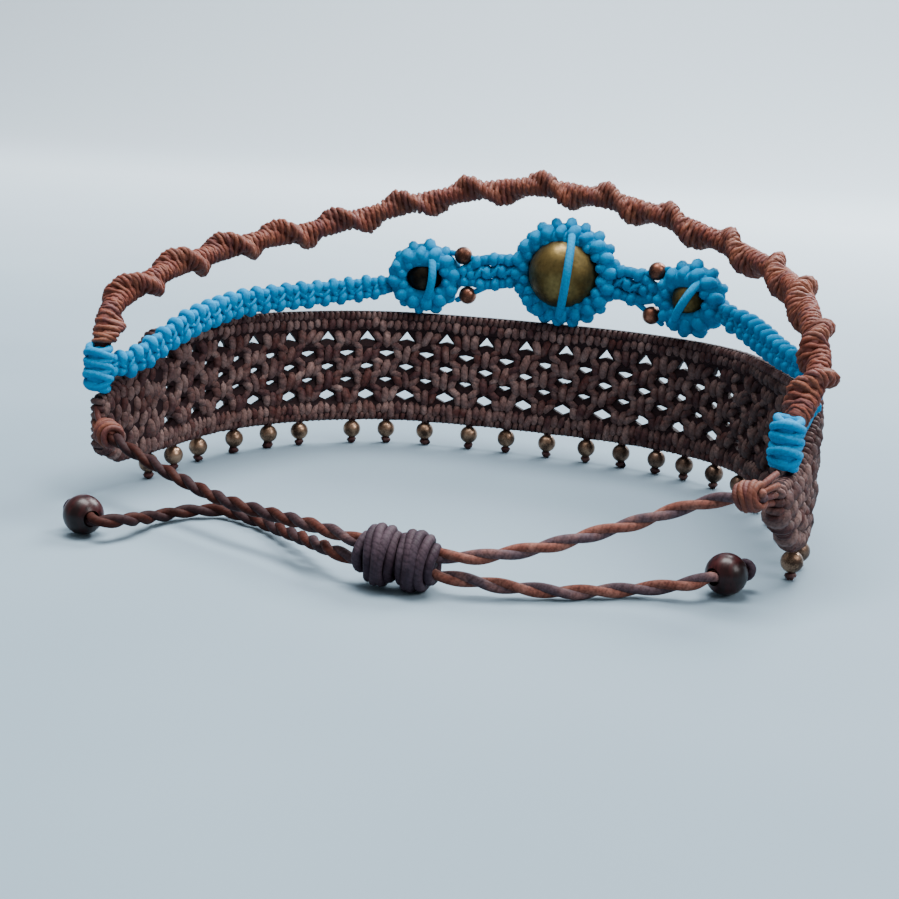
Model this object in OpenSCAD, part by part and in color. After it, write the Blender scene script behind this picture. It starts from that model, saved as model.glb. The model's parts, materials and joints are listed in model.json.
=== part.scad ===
// Macrame bracelet: a knotted net band with edge beads, two blue knotted ribbons with three
// set beads, a spiral-knotted strand over them, and two closing cords in a sliding knot.
// It stands on the knots under its edge beads, open toward -Y. Millimetres, +Z up.

/* [Net band] */
// Height of the net between its two edges
band_h = 12.5; // [11:0.5:14]
// Thickness of the knotted net
band_t = 1.8; // [1.4:0.1:2]
// Distance between two gaps of one row
gap_pitch = 4.62; // [4.5:0.02:4.66]
// Gaps in each long row; the rows between have one gap fewer
gap_count = 22; // [18:1:22]

/* [Edge beads] */
// Diameter of the beads under the band
edge_bead_d = 2; // [1.6:0.1:2.2]
// Diameter of the loop that carries a bead
loop_d = 0.6; // [0.4:0.1:0.7]
// Diameter of the knot under a bead
loop_knot_d = 1; // [0.8:0.1:1.2]

/* [Blue ribbons and set beads] */
// Height of the blue knotted ribbon
ribbon_h = 2.9; // [2.4:0.1:3]
// Thickness of the blue knotted ribbon
ribbon_t = 1.6; // [1.2:0.1:1.7]
// Length of one knot of the ribbon
ribbon_knot = 2.2; // [1.8:0.1:2.6]
// Diameter of the centre bead
centre_bead_d = 8; // [7:0.2:8]
// Diameter of the two side beads
side_bead_d = 4; // [3.6:0.1:4.1]
// Diameter of the copper beads
copper_bead_d = 2; // [1.6:0.1:2]

/* [Spiral strand] */
// Width of the spiral strand over its ridge
spiral_w = 2.8; // [2.2:0.1:3]
// Thickness of the spiral strand away from its ridge
spiral_t = 2.1; // [1.6:0.1:2.2]

/* [Closing cords] */
// Diameter of the two-ply closing cords
cord_d = 1.3; // [1:0.1:1.3]
// Diameter of the beads near the cords' ends
wooden_bead_d = 3.6; // [3.2:0.1:3.6]
// Diameter of the sliding knot
knot_d = 5; // [4.8:0.1:5]
// Length of the sliding knot
knot_len = 6.4; // [6:0.2:6.8]

/* [Hidden] */
// Distances along the band of the edge beads, from its left end
EDGE_BEADS = [
    8.1, 12.3, 16.9, 22.5, 27.1, 31, 37.3, 41.3, 45.8, 51, 55.4, 60.2, 64.8, 68.9, 73.2, 76.7,
    80.9, 85.5, 90.2, 94.8, 99.5, 104.2, 108.8, 112.4
];
$fn = 48;

// Middle of the bracelet's box without its closing cords, in the frame of the tables below
ORIGIN = [0.06, 11.2];
// Gap kept between pieces that lie against each other
seat = 0.25;
// Clearance round a thread or cord in a bore, on each side
bore_gap = 0.12;
// Diameter of the threads through the set beads and the copper beads
thread_d = 0.6;
// Bore that clears the corners of an eight-sided cord
cord_bore_d = cord_d / cos(22.5) + 2 * bore_gap;

band_bottom = edge_bead_d + 0.8;
band_top = band_bottom + band_h;
edge_bead_z = edge_bead_d / 2 + 0.66;

// Plan of the band from its left end over the arch to its right end: [x, y]
ARCH = [
    [-32.6, -8.7], [-32.25, -5], [-31.85, -1], [-31.45, 4], [-31, 10.2], [-28.6, 16.6], [-24.2, 22.6],
    [-17.5, 27.7], [-9, 29.9], [0, 30.9], [9, 31], [17, 29.2], [22.6, 25.6], [26.6, 20],
    [30.4, 12.6], [33, 6], [33.4, 1], [33.1, -4], [32.6, -8.9]
];
// Edges of the band: [distance along, lower, upper], the last two as shares of band_h
EDGES = [
    [0, 0.12, 0.56], [1.2, 0.1, 0.58], [1.9, 0.06, 0.59], [3.2, 0, 0.66], [8.6, 0, 1], [106.9, 0, 1],
    [109.9, 0, 0.88], [111.9, 0, 0.81], [114.9, 0.04, 0.64], [117, 0.18, 0.61], [119.6, 0.3, 0.61],
    [120.9, 0.4, 0.58]
];
// Lines across the net: [height as a share of the band's, thickness as a share of band_t]
LINES = [
    [0, 0.5], [0.06, 0.95], [0.155, 1], [0.31, 1], [0.436, 1], [0.552, 1], [0.684, 1],
    [0.84, 1], [0.944, 0.95], [1, 0.5]
];
// Line under the lowest row of gaps, and the share of band_t left round a gap
gap_line = 2;
gap_edge = 0.55;
// Rows of gaps from the lowest: [half width, rise of the two side corners, of the top, of the bottom]
GAPS = [
    [1.15, 0, 0.62, -0.55], [0.8, 0.1, 0.3, -0.3], [0.9, 0.1, 0.38, -0.38],
    [1, 0.15, 0.32, -0.38], [0.95, -0.4, 0.78, -0.15]
];
// Distance along the band of its first gap
first_gap = 11;

// Routes of the ribbons and the spiral: [x, y, height above the band, share of the full height]
RIBBON_LEFT = [
    [-30.6, -4.2, -2.3, 0.6], [-29.9, -0.9, -0.8, 0.9], [-29.55, 3.7, 0.5, 1], [-29.1, 11, 1.4, 1],
    [-27.1, 16.5, 1.8, 1], [-24, 22, 2.1, 1], [-19.6, 26.4, 2.7, 0.9], [-18.5, 27.2, 3, 0.6]
];
RIBBON_RIGHT = [
    [19.5, 28, 3.6, 0.6], [21, 27, 3.1, 0.9], [22.8, 25.3, 2.7, 1], [25.2, 21.4, 2.2, 1],
    [28, 16, 1.8, 0.9], [31.2, 10, 1.5, 0.75], [32.8, 5.8, 1.2, 0.65], [33.3, 2.6, 0.2, 0.6],
    [33.3, 0.8, -0.4, 0.55]
];
LINK_LEFT = [
    [-10.3, 29.6, 4.5, 0.6], [-9.3, 29.8, 4.7, 0.7], [-8.3, 29.9, 5, 1.3], [-6.3, 30.3, 5.3, 1.4],
    [-4.5, 30.6, 5.5, 1.2]
];
LINK_RIGHT = [
    [7.3, 31, 5.3, 1.2], [9, 31, 5.1, 1.4], [10.2, 30.8, 4.8, 1.3], [11.2, 30.7, 4.6, 0.7],
    [11.9, 30.5, 4.5, 0.6]
];
SPIRAL = [
    [-33, -6.9, -0.5, 1], [-33.1, -6.1, 1.5, 1], [-33.3, -4.4, 2.8, 1], [-33.3, -1.5, 3.9, 1],
    [-32.6, 4.6, 5.6, 1],
    [-31.8, 11.1, 6.6, 1], [-29.3, 17.4, 7.9, 1], [-25.8, 22.4, 8.8, 1], [-20.7, 27, 10.7, 1],
    [-14.6, 29.8, 12.7, 1], [-8, 31.1, 14.2, 1], [-2.4, 31.7, 14.8, 1], [4.5, 32.1, 14.1, 1],
    [10.2, 31.9, 13, 1], [16.1, 30.6, 11.4, 1], [21, 28.2, 9.9, 1], [26.2, 22.6, 8.5, 1],
    [30.1, 13.3, 7.4, 1], [32.3, 6, 5.4, 1], [33.5, 2.8, 3.6, 1], [33.6, -0.4, 1.7, 1], [33, -3, -0.35, 1]
];
// Distances along the spiral strand at which its one ridge is on top, a full turn apart
SPIRAL_TOPS = [
    -0.6, 7.4, 15.2, 22.9, 29.9, 36.8, 44.3, 52, 60.7, 67.9, 75.3, 83.2, 91.5, 102, 112.4, 118.5, 126
];
// Bezels: [x, y, height above the band, turn about Z, outer diameter, lean and turn of the crossing cord]
CENTRE_BEZEL = [1.4, 31, 5.75, 0, 11, 6, 19];
SIDE_BEZEL_LEFT = [-14.4, 28.8, 4.1, 17, 7.5, 6, 22];
SIDE_BEZEL_RIGHT = [16, 29.5, 4.4, -17, 7.4, 30, 12];
// Copper beads: [x, y, height above the band], then the same for the thread's root in the link
COPPER_BEADS = [
    [-10.2, 29.7, 6.8, -8, 30, 6.4], [-9.5, 29.8, 2.4, -7.6, 30, 3.4],
    [11.9, 30.6, 6.9, 9.8, 30.8, 6.3], [11.6, 30.6, 2.1, 9.6, 30.8, 3.4]
];
// Blue wraps over the band's ends: [x, y, z, turn about Z, lean, length]
BLUE_WRAP_LEFT = [-32.6, -8.1, 12.55, 80, 4, 4.2];
BLUE_WRAP_RIGHT = [32.5, -4.9, 13.02, 80, 4, 4.2];
blue_wrap_d = 3;
// Distance of a bezel's crossing cord beyond the ring's inner edge
cross_rise = 0.05;

// Routes of the closing cords, from the band through the sliding knot to the end: [x, y, z]
CORD_LEFT = [
    [-31.4, -9.25, 6.9], [-30.4, -9.8, 6.7], [-29.4, -10.35, 6.5], [-27, -11.3, 5.9], [-23.6, -11.8, 4.8],
    [-17.9, -13.8, 3.9], [-13.6, -15.6, 3.7], [-9.2, -16.9, 3.7], [-3.1, -19.3, 4], [0.54, -20.46, 3.88],
    [1.33, -20.35, 3.78], [3, -20.72, 3.42], [4.62, -20.75, 2.7], [6.16, -20.28, 1.98],
    [7.67, -19.45, 1.62], [8.46, -19.35, 1.55], [10.6, -18.7, 1.4], [12.7, -17.9, 1.1], [17.2, -15.8, 0.7],
    [20, -13.9, 0.7], [22.9, -12, 0.8], [25.1, -11.3, 1.2], [26.7, -10.9, 1.6], [28, -9.5, 1.9],
    [29.1, -7.7, 1.9], [30, -6.2, 1.9]
];
CORD_RIGHT = [
    [32, -11.3, 9.95], [31, -11.15, 9.7], [30, -11, 9.45], [28, -10.8, 8.8], [25.4, -11, 7.8],
    [22.5, -12.25, 6.6], [19.6, -13.7, 5.6], [16.9, -15.8, 4.8], [14.6, -17, 4.2], [12.5, -18.2, 3.8],
    [10.6, -18.9, 3.45], [8.46, -19.3, 3.3], [7.67, -19.45, 3.34], [6, -19.08, 3.2], [4.38, -19.05, 2.7],
    [2.84, -19.52, 2.2], [1.33, -20.35, 2.06], [0.54, -20.42, 2.15], [-1.4, -19.9, 2.35],
    [-5.7, -16.3, 1.7], [-9.6, -13.2, 1.1], [-13, -10.9, 0.8], [-15.5, -10, 0.8], [-18, -9.4, 0.8],
    [-20.6, -11.2, 0.8], [-21.8, -13.8, 0.85], [-22.1, -16.2, 1.15], [-22.1, -18.6, 1.6],
    [-22.7, -20.5, 1.85], [-23.9, -21.3, 1.9], [-25.9, -20.2, 1.9], [-27.3, -19.4, 1.9]
];
KNOT_MIDDLE = [4.5, -19.9, 2.7];
knot_turn = 8;
knot_tilt = 4;

// Point on a smooth curve between the rows p1 and p2
function between(p0, p1, p2, p3, t) =
    p1 + 0.5 * t * (p2 - p0 + t * (2 * p0 - 5 * p1 + 4 * p2 - p3 + t * (3 * (p1 - p2) + p3 - p0)));
function smooth(rows, steps = 8) = concat(
    [for (i = [0 : len(rows) - 2], k = [0 : steps - 1])
        between(rows[max(i - 1, 0)], rows[i], rows[i + 1], rows[min(i + 2, len(rows) - 1)], k / steps)],
    [rows[len(rows) - 1]]
);
function place(row) = [for (k = [0 : min(2, len(row) - 1)]) row[k]];
function lengths(rows) = [
    for (i = 0, run = 0; i < len(rows);
         run = run + (i + 1 < len(rows) ? norm(place(rows[i + 1]) - place(rows[i])) : 0), i = i + 1) run
];
function column(rows, runs, k) = [for (i = [0 : len(rows) - 1]) [runs[i], rows[i][k]]];
// Rows at even distances, about step apart, in a number of steps that divides by multiple
function even_rows(rows, step, multiple = 1) =
    let (
        fine = smooth(rows),
        runs = lengths(fine),
        total = runs[len(runs) - 1],
        count = max(1, round(total / step / multiple)) * multiple,
        columns = [for (k = [0 : len(rows[0]) - 1]) column(fine, runs, k)]
    )
    [for (i = [0 : count]) [for (c = columns) lookup(i * total / count, c)]];
function unit(v) = v / norm(v);
function raised(rows) = [for (r = rows) [r[0], r[1], band_top + r[2], r[3]]];
// Sideways and upward unit vectors of the route at row i
function frame_at(path, i) =
    let (
        ahead = unit(path[min(i + 1, len(path) - 1)] - path[max(i - 1, 0)]),
        side = unit(cross([0, 0, 1], ahead))
    )
    [side, cross(ahead, side)];
function turned_over(faces) = [for (f = faces) [for (k = [len(f) - 1 : -1 : 0]) f[k]]];
function tube_faces(rings, sides) = turned_over(concat(
    [[for (k = [sides - 1 : -1 : 0]) k]],
    [for (i = [0 : rings - 2], k = [0 : sides - 1])
        let (a = i * sides + k, b = i * sides + (k + 1) % sides) each
        [[a, b, b + sides], [a, b + sides, a + sides]]],
    [[for (k = [0 : sides - 1]) (rings - 1) * sides + k]]
));
// Octagon that fills a box of the given width and height, turned by an angle
function octagon(width, height, turn = 0) = [
    for (k = [0 : 7]) let (
        a = 22.5 + 45 * k,
        p = [width / 2 * cos(a), height / 2 * sin(a)] / cos(22.5)
    )
    [p[0] * cos(turn) - p[1] * sin(turn), p[0] * sin(turn) + p[1] * cos(turn)]
];

// Solid swept along a path, with one ring of [sideways, upward] points for each of its rows
module swept(path, rings) {
    points = [
        for (i = [0 : len(path) - 1]) let (frame = frame_at(path, i)) each
        [for (p = rings[i]) path[i] + p[0] * frame[0] + p[1] * frame[1]]
    ];
    polyhedron(points, tube_faces(len(path), len(rings[0])));
}

module placed() {
    translate([-ORIGIN[0], -ORIGIN[1], 0]) children();
}

// Children's +Z turned to the way from one point to the other, at the middle of both
module along(from, to) {
    way = to - from;
    translate((from + to) / 2)
        rotate([0, acos(way[2] / norm(way)), atan2(way[1], way[0])])
            children();
}

// Plan of the band by the distance along it
arch_rows = smooth(ARCH);
arch_runs = lengths(arch_rows);
arch_len = arch_runs[len(arch_runs) - 1];
arch_x = column(arch_rows, arch_runs, 0);
arch_y = column(arch_rows, arch_runs, 1);
lower_edge = [for (e = EDGES) [e[0], e[1]]];
upper_edge = [for (e = EDGES) [e[0], e[2]]];
function arch_at(run) = [lookup(run, arch_x), lookup(run, arch_y)];
function arch_out(run) =
    let (way = unit(arch_at(run + 0.5) - arch_at(run - 0.5))) [-way[1], way[0]];
function net_z(run, share) =
    let (low = lookup(run, lower_edge), high = lookup(run, upper_edge))
    band_bottom + band_h * (low + share * (high - low));
// Point of the net: side is 1 on the outside and -1 on the wrist side
function net_point(run, z, side, thick) =
    let (p = arch_at(run) + side * thick / 2 * arch_out(run)) [p[0], p[1], z];

// The net is a grid of half-pitch columns between LINES, with a gap over two columns of a row.
half_pitch = gap_pitch / 2;
lead_columns = floor(first_gap / half_pitch);
first_column = first_gap - lead_columns * half_pitch;
column_runs = concat(
    [0],
    [for (run = [first_column : half_pitch : arch_len - half_pitch / 4]) run],
    [arch_len]
);
columns = len(column_runs);
lines = len(LINES);
// Column at the middle of gap k of a row: every second row is shifted by one column
function gap_column(row, k) = lead_columns + 1 + 2 * k + row % 2;
function row_gaps(row) = gap_count - row % 2;
function in_gap(row, c) =
    row >= 0 && row < len(GAPS)
    && c >= gap_column(row, 0) - 1 && c < gap_column(row, row_gaps(row) - 1) + 1;
gap_list = [for (row = [0 : len(GAPS) - 1], k = [0 : row_gaps(row) - 1]) [row, gap_column(row, k)]];

// Corners of a gap, counted on: [run, z]
function gap_corners(row, c) =
    let (
        run = column_runs[c],
        g = GAPS[row],
        line = gap_line + row,
        z = (net_z(run, LINES[line][0]) + net_z(run, LINES[line + 1][0])) / 2
    )
    [[run - g[0], z + g[1]], [run, z + g[3]], [run + g[0], z + g[1]], [run, z + g[2]]];

// Rings of a loop under the band: [z, radius]
loop_rings = [
    [band_bottom - 0.1, loop_d / 2], [0.68, loop_d / 2], [0.52, loop_knot_d * 0.42], [0.38, loop_knot_d / 2],
    [0.2, loop_knot_d * 0.45], [0, loop_knot_d * 0.25]
];
loop_sides = 6;
// Column whose lower edge carries the loop, and the loop's place kept inside that column
function loop_column(run) = floor((run - first_column) / half_pitch) + 1;
function loop_run(run) =
    let (from = column_runs[loop_column(run)], inset = loop_d / 2 + 0.07)
    min(max(run, from + inset), from + half_pitch - inset);

grid_points = [
    for (side = [-1, 1], line = LINES, run = column_runs)
        net_point(run, net_z(run, line[0]), side, line[1] * band_t)
];
gap_points = [
    for (g = gap_list, side = [-1, 1], p = gap_corners(g[0], g[1]))
        net_point(p[0], p[1], side, gap_edge * band_t)
];
loop_points = [
    for (bead = EDGE_BEADS, ring = loop_rings, k = [0 : loop_sides - 1]) let (
        run = loop_run(bead),
        out = arch_out(run),
        way = [out[1], -out[0]],
        a = 360 / loop_sides * k,
        p = arch_at(run) + ring[1] * (cos(a) * way - sin(a) * out)
    )
    [p[0], p[1], ring[0]]
];
function grid_index(side, line, c) = ((side + 1) / 2 * lines + line) * columns + c;
function gap_index(g, side, corner) = len(grid_points) + g * 8 + (side + 1) / 2 * 4 + corner;
function loop_index(bead, ring, k) =
    len(grid_points) + len(gap_points) + (bead * len(loop_rings) + ring) * loop_sides + k % loop_sides;
function facing(side, face) = side < 0 ? face : [face[2], face[1], face[0]];

// Faces are listed counter-clockwise from outside, and turned over once at the end
plain_faces = [
    for (side = [-1, 1], line = [0 : lines - 2], c = [0 : columns - 2])
        if (!in_gap(line - gap_line, c)) let (
            a = grid_index(side, line, c),
            b = grid_index(side, line + 1, c)
        ) each [facing(side, [a, a + 1, b + 1]), facing(side, [a, b + 1, b])]
];
gap_faces = [
    for (side = [-1, 1], g = [0 : len(gap_list) - 1]) let (
        line = gap_line + gap_list[g][0],
        c = gap_list[g][1],
        low = [for (k = [-1 : 1]) grid_index(side, line, c + k)],
        high = [for (k = [-1 : 1]) grid_index(side, line + 1, c + k)],
        h = [for (k = [0 : 3]) gap_index(g, side, k)]
    ) each [
        for (f = [
            [low[0], low[1], h[1]], [low[0], h[1], h[0]], [low[1], low[2], h[1]], [low[2], h[2], h[1]],
            [low[2], high[2], h[2]], [high[2], high[1], h[3]], [high[2], h[3], h[2]],
            [high[1], high[0], h[3]], [high[0], h[0], h[3]], [high[0], low[0], h[0]]
        ]) facing(side, f)
    ]
];
gap_walls = [
    for (g = [0 : len(gap_list) - 1], k = [0 : 3]) let (
        a = gap_index(g, -1, k),
        b = gap_index(g, -1, (k + 1) % 4)
    ) each [[a, b, b + 4], [a, b + 4, a + 4]]
];
loop_columns = [for (bead = EDGE_BEADS) loop_column(bead)];
// Quad across the thickness of the net between two grid places, as two triangles
function across(a, b) = [[a[0], b[0], b[1]], [a[0], b[1], a[1]]];
function both_sides(line, c) = [grid_index(1, line, c), grid_index(-1, line, c)];
rim_faces = concat(
    [for (c = [0 : columns - 2]) if (len(search(c, loop_columns)) == 0) each
        across(both_sides(0, c), both_sides(0, c + 1))],
    [for (c = [0 : columns - 2]) each across(both_sides(lines - 1, c + 1), both_sides(lines - 1, c))],
    [for (line = [0 : lines - 2]) each across(both_sides(line + 1, 0), both_sides(line, 0))],
    [for (line = [0 : lines - 2]) each
        across(both_sides(line, columns - 1), both_sides(line + 1, columns - 1))]
);
loop_faces = [
    for (bead = [0 : len(EDGE_BEADS) - 1]) let (
        c = loop_columns[bead],
        q = concat(both_sides(0, c), both_sides(0, c + 1)),
        v = [for (k = [0 : loop_sides - 1]) loop_index(bead, 0, k)],
        last = len(loop_rings) - 1
    ) each concat(
        [
            [q[0], q[2], v[5]], [q[0], v[5], v[4]], [q[2], v[0], v[5]], [q[2], q[3], v[0]],
            [q[3], v[1], v[0]], [q[3], q[1], v[2]], [q[3], v[2], v[1]], [q[1], v[3], v[2]],
            [q[1], q[0], v[3]], [q[0], v[4], v[3]]
        ],
        [for (ring = [0 : last - 1], k = [0 : loop_sides - 1]) let (
            a = loop_index(bead, ring, k),
            b = loop_index(bead, ring, k + 1)
        ) each [[a, b, b + loop_sides], [a, b + loop_sides, a + loop_sides]]],
        [[for (k = [0 : loop_sides - 1]) loop_index(bead, last, k)]]
    )
];

module net_band() {
    color("#2e2226") placed() polyhedron(
        concat(grid_points, gap_points, loop_points),
        turned_over(concat(plain_faces, gap_faces, gap_walls, rim_faces, loop_faces))
    );
}

// Ball with a straight bore along its own Z
module drilled_ball(d, bore_d) {
    difference() {
        sphere(d = d);
        cylinder(d = bore_d, h = d + 1, center = true);
    }
}

module edge_bead(i) {
    at = arch_at(loop_run(EDGE_BEADS[i]));
    color("#7a5a3c") placed()
        translate([at[0], at[1], edge_bead_z]) drilled_ball(edge_bead_d, loop_d + 2 * bore_gap);
}

// Flat knotted ribbon that swells at each knot
module ribbon(rows) {
    path = even_rows(raised(rows), ribbon_knot / 2, 2);
    swept(
        [for (r = path) place(r)],
        [for (i = [0 : len(path) - 1]) let (swell = i % 2 == 0 ? 0.84 : 1)
            octagon(ribbon_t * swell, ribbon_h * swell * path[i][3])]
    );
}

module blue_strand_left() {
    color("#1480b0") placed() ribbon(RIBBON_LEFT);
}

module blue_strand_right() {
    color("#1480b0") placed() ribbon(RIBBON_RIGHT);
}

// Link between two bezels, with a thread through each of its two copper beads into the link
module blue_link(rows, beads) {
    color("#1480b0") placed() {
        ribbon(rows);
        for (bead = beads) {
            tip = bead_middle(bead) - 0.6 * bead_thread(bead);
            root = bead_middle(bead) + bead_thread(bead);
            along(tip, root) cylinder(d = thread_d, h = norm(root - tip), center = true);
        }
    }
}
function bead_middle(bead) = [bead[0], bead[1], band_top + bead[2]];
function bead_thread(bead) = [bead[3], bead[4], band_top + bead[5]] - bead_middle(bead);

module blue_link_left() {
    blue_link(LINK_LEFT, [COPPER_BEADS[0], COPPER_BEADS[1]]);
}

module blue_link_right() {
    blue_link(LINK_RIGHT, [COPPER_BEADS[2], COPPER_BEADS[3]]);
}

module copper_bead(i) {
    at = bead_middle(COPPER_BEADS[i]);
    way = bead_thread(COPPER_BEADS[i]);
    color("#8c5a3c") placed() along(at - way, at + way) drilled_ball(copper_bead_d, thread_d + 2 * bore_gap);
}

// Places a bezel or its bead, with the ring's axis along -Y and the crossing cord toward the wrist
module set_at(bezel) {
    placed() translate([bezel[0], bezel[1], band_top + bezel[2]]) rotate([90, 0, bezel[3]]) children();
}

// Knotted ring round a bead, with a thread through the bead and a cord across it
module bezel(spec, bead_d) {
    inner_r = bead_d / 2 + seat;
    outer_r = spec[4] / 2;
    ring_t = outer_r - inner_r;
    cross_d = 0.9;
    cross_r = inner_r + cross_d / 2 + cross_rise;
    color("#1480b0") set_at(spec) {
        rotate_extrude() translate([inner_r + ring_t / 2, 0]) {
            square([ring_t, 0.7], center = true);
            translate([0, 0.35]) circle(d = ring_t);
            translate([0, -0.35]) circle(d = ring_t);
        }
        rotate([0, 90, 0]) cylinder(d = thread_d, h = 2 * inner_r + ring_t, center = true);
        rotate([90 + spec[6], 0, 90 - spec[5]])
            rotate_extrude(angle = 180) translate([cross_r, 0]) circle(d = cross_d);
    }
}

module set_bead(spec, d, shade) {
    color(shade) set_at(spec) rotate([0, 90, 0]) drilled_ball(d, thread_d + 2 * bore_gap);
}

// Strand of half knots: an oval section that turns along the route
// Outline of a round cord with one ridge that points along turn
function ridged(core, ridge, turn) = [
    for (k = [0 : 7]) let (a = 45 * k, r = core / 2 + ridge * pow(max(0, cos(a)), 2))
    r * [cos(a + turn), sin(a + turn)]
];

module spiral_strand() {
    path = even_rows(raised(SPIRAL), spiral_w / 4);
    step = norm(place(path[1]) - place(path[0]));
    turns = [for (k = [0 : len(SPIRAL_TOPS) - 1]) [SPIRAL_TOPS[k], k]];
    color("#8a4a3c") placed() swept(
        [for (r = path) place(r)],
        [
            for (i = [0 : len(path) - 1])
            ridged(spiral_t, spiral_w - spiral_t, 90 + 360 * lookup(i * step, turns))
        ]
    );
}

// Turns of cord wound round the Z axis, with a bore through them
module turns(length, outer_d, bore_d, count) {
    turn_d = length / count;
    rotate_extrude() difference() {
        union() {
            translate([0, -length / 2]) square([(outer_d - turn_d) / 2, length]);
            for (i = [0 : count - 1])
                translate([(outer_d - turn_d) / 2, (i + 0.5) * turn_d - length / 2]) circle(d = turn_d);
        }
        translate([0, -length]) square([bore_d / 2, 2 * length]);
    }
}

// Wrapping knot that stands on the low end of the band
module blue_wrap(spec) {
    color("#1480b0") placed() translate([spec[0], spec[1], spec[2]])
        rotate([0, spec[4], spec[3]]) turns(spec[5], blue_wrap_d, thread_d, 3);
}

module junction_wrap(from, to) {
    color("#a5573a") placed() along(from, to) turns(norm(to - from), 2.7, cord_bore_d, 3);
}

module closure_cord(route) {
    path = even_rows(route, cord_d * 1.7);
    color("#a0603f") placed() swept(path, [for (r = path) octagon(cord_d, cord_d)]);
}

// Two lobes of wraps round both closing cords
module sliding_knot() {
    lobe_len = knot_len / 2;
    bore_d = 2.7 * cord_d;
    color("#3a2a33") placed() translate(KNOT_MIDDLE) rotate([0, 90 + knot_tilt, knot_turn]) {
        for (side = [-1, 1]) translate([0, 0, side * lobe_len / 2]) turns(lobe_len + 0.02, knot_d, bore_d, 4);
    }
}

// End of a closing cord: its last two rows give the way through the bead to the knot
module wooden_bead(route) {
    color("#5a2f22") placed() along(end_row(route, 2), end_row(route, 1))
        translate([0, 0, -norm(end_way(route)) / 2]) drilled_ball(wooden_bead_d, cord_bore_d + 0.2);
}
function end_row(route, back) = route[len(route) - back];
function end_way(route) = end_row(route, 1) - end_row(route, 2);

module tail_knot(route) {
    tail_d = 1.5;
    color("#3a2a33") placed() translate(end_row(route, 1) + (tail_d / 2 + seat) * unit(end_way(route)))
        sphere(d = tail_d);
}

net_band();
for (i = [0 : len(EDGE_BEADS) - 1])
    edge_bead(i);
blue_strand_left();
blue_strand_right();
blue_link_left();
blue_link_right();
bezel(CENTRE_BEZEL, centre_bead_d);  // centre_bezel
bezel(SIDE_BEZEL_LEFT, side_bead_d);  // side_bezel_left
bezel(SIDE_BEZEL_RIGHT, side_bead_d);  // side_bezel_right
set_bead(CENTRE_BEZEL, centre_bead_d, "#8a7040");  // centre_bead
set_bead(SIDE_BEZEL_LEFT, side_bead_d, "#2c2420");  // side_bead_left
set_bead(SIDE_BEZEL_RIGHT, side_bead_d, "#6e5a34");  // side_bead_right
for (i = [0 : len(COPPER_BEADS) - 1])
    copper_bead(i);
spiral_strand();
blue_wrap(BLUE_WRAP_LEFT);  // blue_wrap_left
blue_wrap(BLUE_WRAP_RIGHT);  // blue_wrap_right
junction_wrap(CORD_LEFT[0], CORD_LEFT[2]);  // junction_wrap_left
junction_wrap(CORD_RIGHT[0], CORD_RIGHT[2]);  // junction_wrap_right
closure_cord(CORD_LEFT);  // closure_cord_left
closure_cord(CORD_RIGHT);  // closure_cord_right
sliding_knot();
wooden_bead(CORD_RIGHT);  // wooden_bead_left
wooden_bead(CORD_LEFT);  // wooden_bead_right
tail_knot(CORD_RIGHT);  // tail_knot_left
tail_knot(CORD_LEFT);  // tail_knot_right
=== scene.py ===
"""Macrame bracelet: the threads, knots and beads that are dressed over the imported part.

The tables are in millimetres in the maker's frame, and ORIGIN is where the part's frame has its origin.
"""
import json
import logging
import math
from dataclasses import dataclass, field
from enum import Enum
from typing import Optional, Sequence, Union

import bpy
import numpy as np
from mathutils import Matrix, Vector

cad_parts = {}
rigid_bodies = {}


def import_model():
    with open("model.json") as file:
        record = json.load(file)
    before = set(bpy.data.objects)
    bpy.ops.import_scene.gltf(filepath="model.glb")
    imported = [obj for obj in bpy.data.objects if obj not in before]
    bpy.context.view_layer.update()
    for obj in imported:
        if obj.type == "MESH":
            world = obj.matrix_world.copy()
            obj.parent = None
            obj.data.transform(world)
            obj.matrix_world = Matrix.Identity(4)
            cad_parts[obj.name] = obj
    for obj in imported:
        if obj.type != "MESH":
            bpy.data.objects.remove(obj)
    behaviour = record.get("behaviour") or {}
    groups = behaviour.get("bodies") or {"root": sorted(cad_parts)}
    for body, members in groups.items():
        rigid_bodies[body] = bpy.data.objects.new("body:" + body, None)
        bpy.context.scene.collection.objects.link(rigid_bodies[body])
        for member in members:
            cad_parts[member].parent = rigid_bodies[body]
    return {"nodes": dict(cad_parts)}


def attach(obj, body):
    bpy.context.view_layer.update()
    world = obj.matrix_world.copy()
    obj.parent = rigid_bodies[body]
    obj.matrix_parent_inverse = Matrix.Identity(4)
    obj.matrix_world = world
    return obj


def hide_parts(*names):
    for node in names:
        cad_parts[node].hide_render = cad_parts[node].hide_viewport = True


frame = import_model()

Rows = Sequence[Sequence[float]]
Size = Union[float, np.ndarray]

LOG = logging.getLogger("bracelet")
MM = 0.001
ORIGIN = np.array([0.06, 11.2, 0.0])
UP = np.array([0.0, 0.0, 1.0])

BAND_HEIGHT = 12.5
BAND_BOTTOM = 2.8
BAND_TOP = BAND_BOTTOM + BAND_HEIGHT
EDGE_BEAD_Z = 1.66

# The band from above, from its left end to its right end: x, y.
ARCH = [
    (-32.6, -8.7), (-32.25, -5), (-31.85, -1), (-31.45, 4), (-31, 10.2), (-28.6, 16.6), (-24.2, 22.6),
    (-17.5, 27.7), (-9, 29.9), (0, 30.9), (9, 31), (17, 29.2), (22.6, 25.6), (26.6, 20),
    (30.4, 12.6), (33, 6), (33.4, 1), (33.1, -4), (32.6, -8.9),
]
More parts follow.
